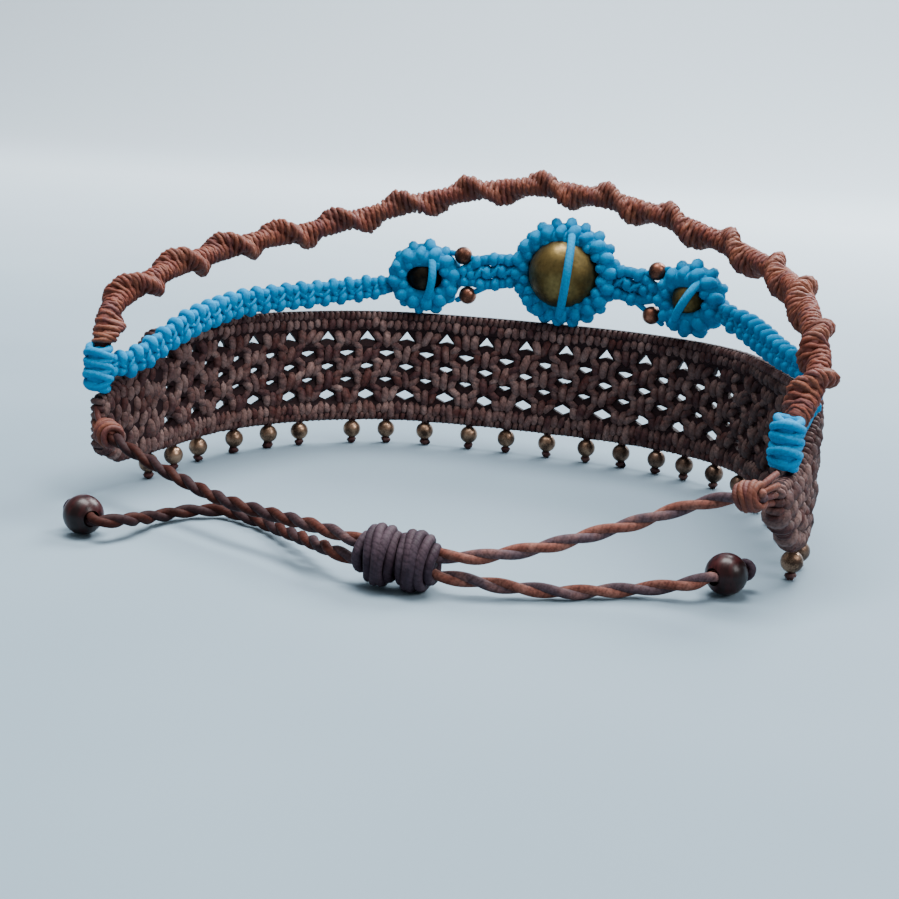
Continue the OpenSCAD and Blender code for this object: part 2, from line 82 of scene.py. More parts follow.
# Distance along the band, and its lower and upper edge there, as shares of its height.
EDGES = [
    (0, 0.12, 0.56), (1.2, 0.1, 0.58), (1.9, 0.06, 0.59), (3.2, 0, 0.66), (8.6, 0, 1), (106.9, 0, 1),
    (109.9, 0, 0.88), (111.9, 0, 0.81), (114.9, 0.04, 0.64), (117, 0.18, 0.61), (119.6, 0.3, 0.61),
    (120.9, 0.4, 0.58),
]
# Heights of the rows of gaps, as shares of the band's height.
GAP_ROWS = [0.2325, 0.373, 0.494, 0.618, 0.762]
# Distances of the edge beads along the band.
EDGE_BEADS = [
    8.1, 12.3, 16.9, 22.5, 27.1, 31, 37.3, 41.3, 45.8, 51, 55.4, 60.2, 64.8, 68.9, 73.2, 76.7,
    80.9, 85.5, 90.2, 94.8, 99.5, 104.2, 108.8, 112.4,
]
# Blue ribbons and links: x, y, height over the band's top, share of the full width.
RIBBON_LEFT = [
    (-32.1, -7.2, -2.5, 0.75), (-31.4, -5.7, -2.6, 0.9), (-30.6, -4.2, -2.2, 0.95), (-29.9, -0.9, -0.8, 0.9),
    (-29.55, 3.7, 0.5, 1), (-29.1, 11, 1.4, 1), (-27.1, 16.5, 1.8, 1), (-24, 22, 2.1, 1),
    (-19.6, 26.4, 2.7, 0.9), (-18.5, 27.2, 3, 0.6),
]
RIBBON_RIGHT = [
    (19.5, 28, 3.6, 0.6), (21, 27, 3.1, 0.9), (22.8, 25.3, 2.7, 1), (25.2, 21.4, 2.2, 1),
    (28, 16, 1.8, 0.9), (31.2, 10, 1.5, 0.75), (32.8, 5.8, 1.2, 0.65), (33.3, 2.6, 0.2, 0.6),
    (33.3, 0.8, -0.4, 0.55),
]
LINK_LEFT = [
    (-10.3, 29.6, 4.5, 0.6), (-9.3, 29.8, 4.7, 0.7), (-8.3, 29.9, 5, 1.3), (-6.3, 30.3, 5.3, 1.4),
    (-4.5, 30.6, 5.5, 1.2),
]
LINK_RIGHT = [
    (7.3, 31, 5.3, 1.2), (9, 31, 5.1, 1.4), (10.2, 30.8, 4.8, 1.3), (11.2, 30.7, 4.6, 0.7),
    (11.9, 30.5, 4.5, 0.6),
]
# Threads at the right ribbon's end, and the spiral strand: x, y, height over the band's top.
RIBBON_TAILS = [
    [(33.3, 2, 0.4), (33.4, 0.3, -0.3), (33.3, -1.6, -1), (32.9, -3.8, -1.6)],
    [(33.3, 2, -0.4), (33.4, 0.3, -1), (33.2, -1.6, -1.7), (32.8, -3.8, -2.3)],
]
SPIRAL = [
    (-33, -6.9, -0.5), (-33.1, -6.1, 1.5), (-33.3, -4.4, 2.8), (-33.3, -1.5, 3.9), (-32.6, 4.6, 5.6),
    (-31.8, 11.1, 6.6), (-29.3, 17.4, 7.9), (-25.8, 22.4, 8.8), (-20.7, 27, 10.7), (-14.6, 29.8, 12.7),
    (-8, 31.1, 14.2), (-2.4, 31.7, 14.8), (4.5, 32.1, 14.1), (10.2, 31.9, 13), (16.1, 30.6, 11.4),
    (21, 28.2, 9.9), (26.2, 22.6, 8.5), (30.1, 13.3, 7.4), (32.3, 6, 5.4), (33.5, 2.8, 3.6),
    (33.6, -0.4, 1.7), (33, -3, -0.35),
]
# Distances along the spiral strand at which its ridge is on top.
SPIRAL_TOPS = [
    -0.6, 7.4, 15.2, 22.9, 29.9, 36.8, 44.3, 52, 60.7, 67.9, 75.3, 83.2, 91.5, 102, 112.4, 118.5, 126,
]
# Middle of a copper bead, and the place in the link that its thread comes from, over the band's top.
COPPER_BEADS = [
    (-10.2, 29.7, 6.8, -8, 30, 6.4), (-9.5, 29.8, 2.4, -7.6, 30, 3.4),
    (11.9, 30.6, 6.9, 9.8, 30.8, 6.3), (11.6, 30.6, 2.1, 9.6, 30.8, 3.4),
]
# Threads that fray out from the junction wraps, and the closing cords: x, y, z.
FAN_LEFT = [
    [(-31.6, -9.2, 7.4), (-32, -9.1, 7.9), (-32.5, -8.6, 8.6)],
    [(-31.6, -9.4, 6.9), (-32.2, -9.3, 7), (-32.6, -8.7, 7.2)],
    [(-31.6, -9.3, 6.4), (-32.1, -9.2, 6.2), (-32.5, -8.6, 5.8)],
]
FAN_RIGHT = [
    [(31.7, -11.2, 10.5), (32.2, -10.4, 11), (32.6, -9.1, 11.3)],
    [(31.8, -11.4, 10.1), (32.4, -10.5, 10.4), (32.8, -9.2, 10.4)],
    [(31.8, -11.4, 9.7), (32.3, -10.6, 9.7), (32.7, -9.2, 9.6)],
    [(31.7, -11.2, 9.4), (32.1, -10.5, 9.1), (32.5, -9.2, 8.9)],
]
CORD_LEFT = [
    (-31.4, -9.25, 6.9), (-30.4, -9.8, 6.7), (-29.4, -10.35, 6.5), (-27, -11.3, 5.9), (-23.6, -11.8, 4.8),
    (-17.9, -13.8, 3.9), (-13.6, -15.6, 3.7), (-9.2, -16.9, 3.7), (-3.1, -19.3, 4), (0.54, -20.46, 3.88),
    (1.33, -20.35, 3.78), (3, -20.72, 3.42), (4.62, -20.75, 2.7), (6.16, -20.28, 1.98),
    (7.67, -19.45, 1.62), (8.46, -19.35, 1.55), (10.6, -18.7, 1.4), (12.7, -17.9, 1.1), (17.2, -15.8, 0.7),
    (20, -13.9, 0.7), (22.9, -12, 0.8), (25.1, -11.3, 1.2), (26.7, -10.9, 1.6), (28, -9.5, 1.9),
    (29.1, -7.7, 1.9), (30, -6.2, 1.9),
]
CORD_RIGHT = [
    (32, -11.3, 9.95), (31, -11.15, 9.7), (30, -11, 9.45), (28, -10.8, 8.8), (25.4, -11, 7.8),
    (22.5, -12.25, 6.6), (19.6, -13.7, 5.6), (16.9, -15.8, 4.8), (14.6, -17, 4.2), (12.5, -18.2, 3.8),
    (10.6, -18.9, 3.45), (8.46, -19.3, 3.3), (7.67, -19.45, 3.34), (6, -19.08, 3.2), (4.38, -19.05, 2.7),
    (2.84, -19.52, 2.2), (1.33, -20.35, 2.06), (0.54, -20.42, 2.15), (-1.4, -19.9, 2.35),
    (-5.7, -16.3, 1.7), (-9.6, -13.2, 1.1), (-13, -10.9, 0.8), (-15.5, -10, 0.8), (-18, -9.4, 0.8),
    (-20.6, -11.2, 0.8), (-21.8, -13.8, 0.85), (-22.1, -16.2, 1.15), (-22.1, -18.6, 1.6),
    (-22.7, -20.5, 1.85), (-23.9, -21.3, 1.9), (-25.9, -20.2, 1.9), (-27.3, -19.4, 1.9),
]


def unit(v: np.ndarray) -> np.ndarray:
    """Returns v, or each row of it, at length one."""
    return v / np.linalg.norm(v, axis=-1, keepdims=True)


def to_part(points: np.ndarray) -> np.ndarray:
    """Returns points of the tables as metres in the part's frame."""
    return (np.asarray(points, float) - ORIGIN) * MM


def raised(rows: Rows) -> list:
    """Returns rows with their heights over the band's top made heights over the floor."""
    return [(x, y, BAND_TOP + z, *more) for x, y, z, *more in rows]


def square_to(ahead: np.ndarray) -> tuple[np.ndarray, np.ndarray]:
    """Returns a level way and a rising way, both square to each way ahead."""
    side = unit(np.cross(UP, ahead))
    return side, np.cross(ahead, side)


def leaning(lean: np.ndarray, tall: np.ndarray, way: np.ndarray) -> np.ndarray:
    """Returns the ways tall, leant toward way by angles in radians."""
    return np.cos(lean) * tall + np.sin(lean) * way


class Route:
    """A smooth line through the rows of a table, read by the distance along it."""

    HALF_SPAN = 0.3

    def __init__(self, rows: Rows, steps: int = 8) -> None:
        """Builds the line.

        Args:
            rows: x, y, z and any further columns, which are read with the place.
            steps: Points between two rows.
        """
        given = np.array([tuple(r) + (0.0,) * (3 - len(r)) for r in rows])
        last = len(given) - 1
        fine = []
        for i in range(last):
            a, b, c, d = given[max(i - 1, 0)], given[i], given[i + 1], given[min(i + 2, last)]
            for t in np.arange(steps) / steps:
                fine.append(
                    b + 0.5 * t * (c - a + t * (2 * a - 5 * b + 4 * c - d + t * (3 * (b - c) + d - a))))
        self.rows = np.array(fine + [given[last]])
        self.runs = np.concatenate([
            [0.0], np.cumsum(np.linalg.norm(np.diff(self.rows[:, :3], axis=0), axis=1))])
        self.length = float(self.runs[-1])

    def read(self, run: np.ndarray) -> np.ndarray:
        """Returns every column at the distances run."""
        return np.stack([np.interp(run, self.runs, c) for c in self.rows.T], axis=-1)

    def at(self, run: np.ndarray) -> np.ndarray:
        """Returns the places at the distances run."""
        return self.read(run)[..., :3]

    def ahead(self, run: np.ndarray) -> np.ndarray:
        """Returns the directions of the line at the distances run."""
        run = np.clip(run, self.HALF_SPAN, self.length - self.HALF_SPAN)
        return unit(self.at(run + self.HALF_SPAN) - self.at(run - self.HALF_SPAN))

    def even(self, step: float, short: float = 0.0) -> np.ndarray:
        """Returns distances about step apart, that stay short of both ends."""
        span = self.length - short - short
        return short + np.linspace(0, span, max(2, round(span / step) + 1))

    def parts(self, points: int) -> np.ndarray:
        """Returns a number of evenly spaced places, from end to end."""
        return self.at(np.linspace(0, self.length, points))


def new_object(name: str, data: bpy.types.ID) -> bpy.types.Object:
    """Returns a new object of the scene, made of a mesh, a camera or a light."""
    made = bpy.data.objects.new(name, data)
    bpy.context.scene.collection.objects.link(made)
    return made


def select_only(piece: bpy.types.Object) -> None:
    """Selects one object and makes it active."""
    for other in bpy.context.view_layer.objects:
        other.select_set(False)
    piece.select_set(True)
    bpy.context.view_layer.objects.active = piece


def random_tones(random: np.random.Generator, count: int, shade: float, low: float = 0,
                 high: float = 1) -> np.ndarray:
    """Returns tones for a number of tubes, of one painted shade and with their lightness from low to high."""
    return np.stack([
        random.uniform(low, high, count), random.uniform(0, 1, count), np.full(count, shade)], axis=1)


def hoops(centre: np.ndarray, tall: np.ndarray, deep: np.ndarray, half: Size, depth: Size, points: int = 14,
          square: float = 0.85) -> np.ndarray:
    """Returns closed lines round centres, in the planes of the directions tall and deep.

    Args:
        centre: Middle of each hoop.
        tall: Unit direction of each hoop's height.
        deep: Unit direction of each hoop's depth.
        half: Half height of each.
        depth: Half depth of each.
        points: Points of a hoop.
        square: One for an ellipse, less for one with flatter sides.
    """
    a = 2 * math.pi * np.arange(points) / points
    c, s = np.cos(a), np.sin(a)
    c, s = np.sign(c) * np.abs(c) ** square, np.sign(s) * np.abs(s) ** square
    half = np.broadcast_to(np.asarray(half, float), len(centre))[:, None, None]
    depth = np.broadcast_to(np.asarray(depth, float), len(centre))[:, None, None]
    return (centre[:, None] + half * c[None, :, None] * tall[:, None]
            + depth * s[None, :, None] * deep[:, None])


def rounded(line: np.ndarray, radius: float, steps: int = 3) -> tuple[np.ndarray, np.ndarray]:
    """Gives an open line rounded ends.

    Args:
        line: The line's points.
        radius: The tube's radius.
        steps: Rings added at each end.

    Returns:
        The longer line and the radius at each of its points.
    """
    angle = np.radians(np.linspace(86, 25, steps))
    out, size = np.sin(angle) * radius, np.cos(angle) * radius
    head = line[0] + out[:, None] * unit(line[0] - line[1])
    tail = line[-1] + out[::-1, None] * unit(line[-1] - line[-2])
    radii = np.concatenate([size, np.full(len(line), radius), size[::-1]])
    return np.concatenate([head, line, tail]), radii


@dataclass
class Strands:
    """Tubes gathered into one mesh, with a map in millimetres along them and a tone for each."""

    verts: list = field(default_factory=list)
    faces: list = field(default_factory=list)
    caps: list = field(default_factory=list)
    maps: list = field(default_factory=list)
    tones: list = field(default_factory=list)
    count: int = 0

    def add(self, lines: np.ndarray, radius: Size, tones: np.ndarray, sides: int = 6,
            flat: Optional[np.ndarray] = None) -> None:
        """Adds tubes that all have the same number of points.

        Args:
            lines: Points, as tube by point by xyz.
            radius: One radius, or one for each point of each tube.
            tones: Three shares for each tube, or for each of its points: lightness, second colour and painted
                shade.
            sides: Sides of a tube.
            flat: For closed tubes, the normal of each tube's plane; open tubes have none.
        """
        m, n = lines.shape[:2]
        ahead, first = self.axes(lines, flat)
        second = np.cross(ahead, first)
        turn = 2 * math.pi * np.arange(sides) / sides
        ring = np.cos(turn)[:, None] * first[:, :, None] + np.sin(turn)[:, None] * second[:, :, None]
        radius = np.broadcast_to(radius, (m, n))[:, :, None, None]
        self.verts.append((lines[:, :, None] + radius * ring).reshape(-1, 3))
        self.skin(lines, sides, flat is not None)
        tones = np.asarray(tones, float)
        tones = np.broadcast_to(tones if tones.ndim == 3 else tones[:, None], (m, n, 3))
        self.tones.append(np.repeat(tones.reshape(-1, 3), sides, axis=0))
        self.count += m * n * sides

    def tube(self, line: np.ndarray, radius: Size, tone: Sequence[float], sides: int) -> None:
        """Adds one open tube, of one tone."""
        self.add(line[None], radius, np.array([tone]), sides)

    @staticmethod
    def axes(lines: np.ndarray, flat: Optional[np.ndarray]) -> tuple[np.ndarray, np.ndarray]:
        """Returns the way ahead at each point of tubes, and a way square to it that doesn't twist.

        Args:
            lines: Points, as tube by point by xyz.
            flat: The normal of each closed tube's plane, or none for open tubes.
        """
        if flat is not None:
            ahead = unit(np.roll(lines, -1, axis=1) - np.roll(lines, 1, axis=1))
            return ahead, unit(np.cross(flat[:, None, :], ahead))
        ahead = unit(np.gradient(lines, axis=1))
        guess = np.where(np.abs(ahead[:, 0, 2:]) > 0.9, [[1.0, 0, 0]], [[0, 0, 1.0]])
        rows = [unit(np.cross(guess, ahead[:, 0]))]
        for i in range(1, lines.shape[1]):
            along = np.sum(rows[-1] * ahead[:, i], axis=1, keepdims=True)
            rows.append(unit(rows[-1] - along * ahead[:, i]))
        return ahead, np.stack(rows, axis=1)

    def skin(self, lines: np.ndarray, sides: int, closed: bool) -> None:
        """Adds the faces of tubes with their map, and the caps of open ones.

        Args:
            lines: Points, as tube by point by xyz.
            sides: Sides of a tube.
            closed: Whether each tube runs back to its start.
        """
        m, n = lines.shape[:2]
        spans = n if closed else n - 1
        base, here = (np.arange(m) * n)[:, None, None], np.arange(spans)[None, :, None]
        k = np.arange(sides)[None, None]
        after, k2 = (here + 1) % n, (k + 1) % sides
        quad = [(base + i) * sides + j for i, j in ((here, k), (here, k2), (after, k2), (after, k))]
        self.faces.append(np.stack(np.broadcast_arrays(*quad), axis=-1).reshape(-1, 4) + self.count)
        gaps = np.linalg.norm(np.roll(lines, -1, axis=1) - lines, axis=2)
        far = np.concatenate([np.zeros((m, 1)), np.cumsum(gaps, axis=1)], axis=1)
        u = [far[:, :spans], far[:, 1:spans + 1]]
        v = [np.arange(sides) / sides, (np.arange(sides) + 1) / sides]
        corner = [(u[0], v[0]), (u[0], v[1]), (u[1], v[1]), (u[1], v[0])]
        pairs = [np.stack(np.broadcast_arrays(a[:, :, None], b[None, None, :]), axis=-1) for a, b in corner]
        self.maps.append(np.stack(pairs, axis=-2).reshape(-1, 2))
        for t in range(0 if closed else m):
            start = self.count + t * n * sides
            self.caps.append([start + s for s in range(sides - 1, -1, -1)])
            self.caps.append([start + (n - 1) * sides + s for s in range(sides)])

    def piece(self, name: str) -> bpy.types.Object:
        """Returns the gathered tubes as an object at the origin, in the part's frame."""
        mesh = bpy.data.meshes.new(name)
        quads = np.concatenate(self.faces)
        mesh.from_pydata(to_part(np.concatenate(self.verts)).tolist(), [], quads.tolist() + self.caps)
        mesh.polygons.foreach_set("use_smooth", [True] * len(mesh.polygons))
        uv = np.zeros((len(mesh.loops), 2))
        uv[: len(quads) * 4] = np.concatenate(self.maps)
        mesh.uv_layers.new(name="strand").data.foreach_set("uv", uv.ravel())
        tone = np.ones((len(mesh.vertices), 4))
        tone[:, :3] = np.concatenate(self.tones)
        mesh.attributes.new("tone", "FLOAT_COLOR", "POINT").data.foreach_set("color", tone.ravel())
        mesh.validate()
        return new_object(name, mesh)


class Socket(Enum):
    """Kinds of node group socket."""

    COLOUR = "NodeSocketColor"
    NUMBER = "NodeSocketFloat"
    VECTOR = "NodeSocketVector"


GROUP_OUTPUTS = {"Color": Socket.COLOUR, "Roughness": Socket.NUMBER, "Height": Socket.NUMBER}


class Shader:
    """A node tree that is filled in by short calls."""

    def __init__(self, tree: bpy.types.NodeTree) -> None:
        """Takes the tree that the nodes go in."""
        self.tree = tree

    def add(self, kind: str, inputs: Optional[dict] = None, **settings: object) -> bpy.types.Node:
        """Adds a node.

        Args:
            kind: The node's type, without its prefix.
            inputs: Values or output sockets for its inputs, by name or number.
            **settings: The node's own properties.

        Returns:
            The new node.
        """
        node = self.tree.nodes.new("ShaderNode" + kind)
        for key, value in settings.items():
            setattr(node, key, value)
        self.fill(node, inputs or {})
        return node

    def fill(self, node: bpy.types.Node, inputs: dict) -> None:
        """Gives a node's inputs values or links, by name or number."""
        for key, value in inputs.items():
            if isinstance(value, bpy.types.NodeSocket):
                self.tree.links.new(value, node.inputs[key])
            else:
                node.inputs[key].default_value = value

    def sum(self, operation: str, *values: object) -> bpy.types.NodeSocket:
        """Returns the result of a sum on values or sockets."""
        return self.add("Math", dict(enumerate(values)), operation=operation).outputs[0]

    def blend(self, share: object, low: object, high: object) -> bpy.types.NodeSocket:
        """Returns the colour that a share picks between two."""
        return self.add("Mix", {0: share, 6: low, 7: high}, data_type="RGBA").outputs[2]

    def noise(self, place: bpy.types.NodeSocket, scale: float, detail: float = 3) -> bpy.types.NodeSocket:
        """Returns a soft noise from 0 to 1."""
        return self.add("TexNoise", {"Vector": place, "Scale": scale, "Detail": detail}).outputs[0]

    def spread(self, value: object, low: float, high: float, to_low: float = 0,
               to_high: float = 1) -> bpy.types.NodeSocket:
        """Returns value stretched from one span to another, and held inside it."""
        return self.add("MapRange", {0: value, 1: low, 2: high, 3: to_low, 4: to_high}).outputs[0]

    def place(self) -> bpy.types.NodeSocket:
        """Returns the place in the object's own frame."""
        return self.add("TexCoord").outputs["Object"]


def new_group(name: str, inputs: dict) -> tuple[Shader, bpy.types.NodeSocket, bpy.types.Node]:
    """Makes a node group that gives a colour, a roughness and a relief.

    Args:
        name: The group's name.
        inputs: Socket kinds by name.

    Returns:
        The shader helper, the sockets of the group's input node and its output node.
    """
    tree = bpy.data.node_groups.new(name, "ShaderNodeTree")
    for side, sockets in (("INPUT", inputs), ("OUTPUT", GROUP_OUTPUTS)):
        for key, kind in sockets.items():
            tree.interface.new_socket(key, in_out=side, socket_type=kind.value)
    return Shader(tree), tree.nodes.new("NodeGroupInput").outputs, tree.nodes.new("NodeGroupOutput")


def thread_group() -> bpy.types.NodeTree:
    """Returns the group for waxed, twisted thread: its colour, roughness and relief."""
    s, given, out = new_group("waxed_twist", {
        "Dark": Socket.COLOUR, "Main": Socket.COLOUR, "Second": Socket.COLOUR, "Light": Socket.COLOUR,
        "Tone": Socket.COLOUR, "Strand": Socket.VECTOR, "Place": Socket.VECTOR,
        "Fibres": Socket.NUMBER, "Twist": Socket.NUMBER,
    })
    along, around, _ = s.add("SeparateXYZ", {0: given["Strand"]}).outputs
    lightness, second, shade = s.add("SeparateColor", {0: given["Tone"]}).outputs
    phase = s.sum("ADD", s.sum("MULTIPLY", along, given["Twist"]), s.sum("MULTIPLY", around, given["Fibres"]))
    stripe = s.sum("MULTIPLY", s.sum("PINGPONG", phase, 0.5), 2.0)
    groove = s.spread(stripe, 0.0, 0.5)
    patch = s.noise(given["Place"], 650, 2)
    grain = s.noise(given["Place"], 5200, 3)
    main = s.blend(second, given["Main"], given["Second"])
    lift = s.sum("ADD", s.spread(patch, 0.42, 0.75, 0, 0.55), s.spread(lightness, 0, 1, -0.15, 0.5))
    lit = s.blend(s.add("Clamp", {0: lift}).outputs[0], main, given["Light"])
    # The twist's grooves, the grain and the tone's third share darken the colour toward Dark; the grooves and
    # the third share are painted shade.
    depth = s.sum("MULTIPLY", s.spread(groove, 0, 1, 0.72, 1), s.spread(grain, 0.3, 0.6, 0.5, 1))
    depth = s.sum("MULTIPLY", depth, s.spread(shade, 0, 1, 1, 0.15))
    s.fill(out, {
        "Color": s.blend(depth, given["Dark"], lit),
        "Roughness": s.spread(grain, 0.3, 0.7, 0.5, 0.75),
        "Height": s.sum("ADD", s.sum("MULTIPLY", groove, 0.35), s.sum("MULTIPLY", grain, 0.6)),
    })
    return s.tree


def metal_group() -> bpy.types.NodeTree:
    """Returns the group for old metal: its colour, roughness and relief."""
    s, given, out = new_group("aged_metal", {
        "Bright": Socket.COLOUR, "Patina": Socket.COLOUR, "Place": Socket.VECTOR, "Scale": Socket.NUMBER,
    })
    place = s.add("VectorMath", {0: given["Place"], 3: given["Scale"]}, operation="SCALE").outputs[0]
    cloud = s.noise(place, 1.0, 4)
    speck = s.noise(place, 9.0, 4)
    mask = s.spread(s.sum("ADD", cloud, s.sum("MULTIPLY", speck, 0.4)), 0.55, 0.85)
    s.fill(out, {
        "Color": s.blend(mask, given["Bright"], given["Patina"]),
        "Roughness": s.spread(mask, 0, 1, 0.3, 0.5),
        "Height": speck,
    })
    return s.tree


def new_material(name: str) -> tuple[Shader, bpy.types.Node]:
    """Returns a new material's shader helper and its Principled node."""
    material = bpy.data.materials.new(name)
    material.use_nodes = True
    return Shader(material.node_tree), material.node_tree.nodes["Principled BSDF"]


def colour(hexa: str) -> tuple[float, float, float, float]:
    """Returns a linear colour from a web colour."""
    parts = [int(hexa[i:i + 2], 16) / 255 for i in (1, 3, 5)]
    return (*[c / 12.92 if c <= 0.04045 else ((c + 0.055) / 1.055) ** 2.4 for c in parts], 1.0)


def grouped_material(name: str, group: bpy.types.NodeTree, values: dict, strength: float,
                     distance: float) -> tuple[Shader, bpy.types.Node, bpy.types.Node]:
    """Makes a material whose colour, roughness and relief come from a group.

    Args:
        name: The material's name.
        group: The group.
        values: Numbers, or web colours, for the group's inputs by name.
        strength: Strength of the relief.
        distance: Height of the relief, in metres.

    Returns:
        The shader helper, the group's node and the Principled node.
    """
    s, shader = new_material(name)
    made = s.add("Group", node_tree=group)
    s.fill(made, {key: colour(value) if isinstance(value, str) else value for key, value in values.items()})
    s.fill(made, {"Place": s.place()})
    bump = s.add("Bump", {"Height": made.outputs["Height"], "Strength": strength, "Distance": distance})
    s.fill(shader, {
        "Base Color": made.outputs["Color"],
        "Roughness": made.outputs["Roughness"],
        "Normal": bump.outputs[0],
    })
    return s, made, shader


@dataclass(frozen=True)
class ThreadFinish:
    """Waxed thread of one make: its colours and how it is twisted."""

    name: str
    dark: str
    main: str
    second: str
    light: str
    fibres: float = 2.0
    twist: float = 2.2
    relief: float = 0.00006
    specular: float = 0.25

    def material(self, group: bpy.types.NodeTree) -> bpy.types.Material:
        """Builds the thread's material.

        Args:
            group: The waxed thread group.

        Returns:
            The material.
        """
        values = {
            "Dark": self.dark, "Main": self.main, "Second": self.second, "Light": self.light,
            "Fibres": self.fibres, "Twist": self.twist,
        }
        s, made, shader = grouped_material(self.name, group, values, 0.7, self.relief)
        s.fill(made, {
            "Tone": s.add("Attribute", attribute_name="tone").outputs["Color"],
            "Strand": s.add("UVMap", uv_map="strand").outputs[0],
        })
        s.fill(shader, {"Specular IOR Level": self.specular})
        return bpy.data.materials[self.name]


@dataclass(frozen=True)
class MetalFinish:
    """Old metal of a bead."""

    name: str
    bright: str
    patina: str
    scale: float
    relief: float = 0.00005
    metallic: float = 0.85

    def material(self, group: bpy.types.NodeTree) -> bpy.types.Material:
        """Builds the bead's material.

        Args:
            group: The aged metal group.

        Returns:
            The material.
        """
        values = {"Bright": self.bright, "Patina": self.patina, "Scale": self.scale}
        s, _, shader = grouped_material(self.name, group, values, 0.25, self.relief)
        s.fill(shader, {"Metallic": self.metallic})
        return bpy.data.materials[self.name]


@dataclass(frozen=True)
class WoodFinish:
    """Dark polished wood of the end beads."""

    name: str = "polished_wood"
    dark: str = "#120404"
    light: str = "#3c1214"
    grain_scale: Sequence[float] = (900, 260, 260)
    relief: float = 0.00004

    def material(self) -> bpy.types.Material:
        """Returns the wood's material."""
        s, shader = new_material(self.name)
        drawn = s.add("Mapping", {0: s.place(), 3: self.grain_scale}).outputs[0]
        grain = s.noise(drawn, 1.0, 5)
        pores = s.noise(drawn, 6.0, 3)
        tint = s.blend(s.spread(grain, 0.35, 0.7), colour(self.dark), colour(self.light))
        s.fill(shader, {
            "Base Color": s.blend(s.spread(pores, 0.3, 0.5), colour(self.dark), tint),
            "Roughness": s.spread(pores, 0.3, 0.7, 0.28, 0.42),
            "Normal": s.add("Bump", {"Height": pores, "Strength": 0.2, "Distance": self.relief}).outputs[0],
            "Specular IOR Level": 0.22,
            "Coat Weight": 0.05,
            "Coat Roughness": 0.15,
        })
        return bpy.data.materials[self.name]


THREADS = (
    ThreadFinish("dark_thread", "#120808", "#4e2e2e", "#562c26", "#a08078", specular=0.2),
    # Painted shade: the net's core is coloured darker than its thread, for the shade between the knots.
    ThreadFinish("net_core_thread", "#0a0505", "#2c191b", "#321b1a", "#3e2a2c", specular=0.1),
    ThreadFinish("blue_thread", "#02628c", "#0088bc", "#0074a6", "#008cbe", specular=0.05, relief=0.00003),
    ThreadFinish("spiral_thread", "#421c10", "#703424", "#583032", "#7c4c36"),
    ThreadFinish("closing_thread", "#1c0705", "#68382e", "#524248", "#94665a", twist=1.4, specular=0.08),
    ThreadFinish("knot_thread", "#140e13", "#2b1f29", "#36262e", "#564750", specular=0.1),
)
METALS = (
    MetalFinish("bronze", "#a08068", "#3e2e24", 900),
    # Painted shade: a darker copy of the bronze, for the edge beads on the band's shaded right part.
    MetalFinish("dull_bronze", "#7e6454", "#33261e", 900),
    MetalFinish("brass", "#7c673a", "#4a3e20", 260),
    MetalFinish("dark_brass", "#2c2418", "#0c0a08", 500),
    MetalFinish("copper", "#905c48", "#40261c", 700),
)


class Finishes:
    """All the finishes of the bracelet, built once."""

    def __init__(self) -> None:
        """Builds every material."""
        thread, metal = thread_group(), metal_group()
        self.made = {finish.name: finish.material(thread) for finish in THREADS}
        self.made.update({finish.name: finish.material(metal) for finish in METALS})
        self.made["wood"] = WoodFinish().material()

    def keep(self, piece: bpy.types.Object, finish: str, slot: str, *nodes: str) -> bpy.types.Object:
        """Gives a piece its finish and sets it on the part's body.

        Args:
            piece: The finished piece.
            finish: One of the finishes.
            slot: The record's material slot; not used.
            *nodes: The nodes it stands for.

        Returns:
            The same piece.
        """
        piece.data.materials.clear()
        piece.data.materials.append(self.made[finish])
        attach(piece, "root")
        if nodes:
            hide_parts(*nodes)
        LOG.info(
            "%s: %d faces, replaces %s", piece.name, len(piece.data.polygons), ", ".join(nodes) or "nothing")
        return piece


@dataclass
class ClosingCord:
    """Two plies laid round each other along a route, from the band's end to the cord's tail knot.

    The painted shade, darker toward the left, and the length of a lay are given as pairs of x and value.
    """

    name: str
    rows: Rows
    diameter: float = 1.3
    ply_radius: float = 0.41
    step: float = 0.32
    lightness: float = 0.75
    darker_ply: float = 0.8
    # Painted shade along the cords, darkest at the left.
    shade: Rows = ((-30, 1.0), (-8, 0.9), (4, 0.4), (14, 0.15))
    lay: Rows = ((-6, 4.8), (8, 6.6))
    start_turn: float = 0.0

    def build(self, finishes: Finishes) -> bpy.types.Object:
        """Returns the cord's finished piece."""
        route = Route(self.rows)
        runs = route.even(self.step)
        line = route.at(runs)
        side, over = square_to(route.ahead(runs))
        lays = np.interp(line[:, 0], *np.array(self.lay).T)
        turns = np.cumsum(np.gradient(runs) / lays)
        off = self.diameter / 2 - self.ply_radius
        strands = Strands()
        for ply in (0, 1):
            turn = 2 * math.pi * (turns + ply / 2) + self.start_turn
            path = line + off * (np.cos(turn)[:, None] * side + np.sin(turn)[:, None] * over)
            path, radii = rounded(path, self.ply_radius)
            shade = np.interp(path[:, 0], *np.array(self.shade).T)
            light = (self.lightness - shade) * (1 - self.darker_ply * ply)
            tones = np.stack([light, np.full(len(path), float(ply)), shade], axis=1)
            strands.add(path[None], radii, tones[None], sides=10)
        return finishes.keep(strands.piece(self.name + "_plies"), "closing_thread", "two_ply_cord", self.name)

    def declare(self, piece: bpy.types.Object, others: list) -> None:
        """Args:
            piece: The cord's piece; not used.
            others: The pieces that are on it; not used.
        """
        route = Route(self.rows)
        path = to_part(route.at(route.even(1.0)))


WRAP_DEPTH = 0.5
WRAP_THREAD = 0.4


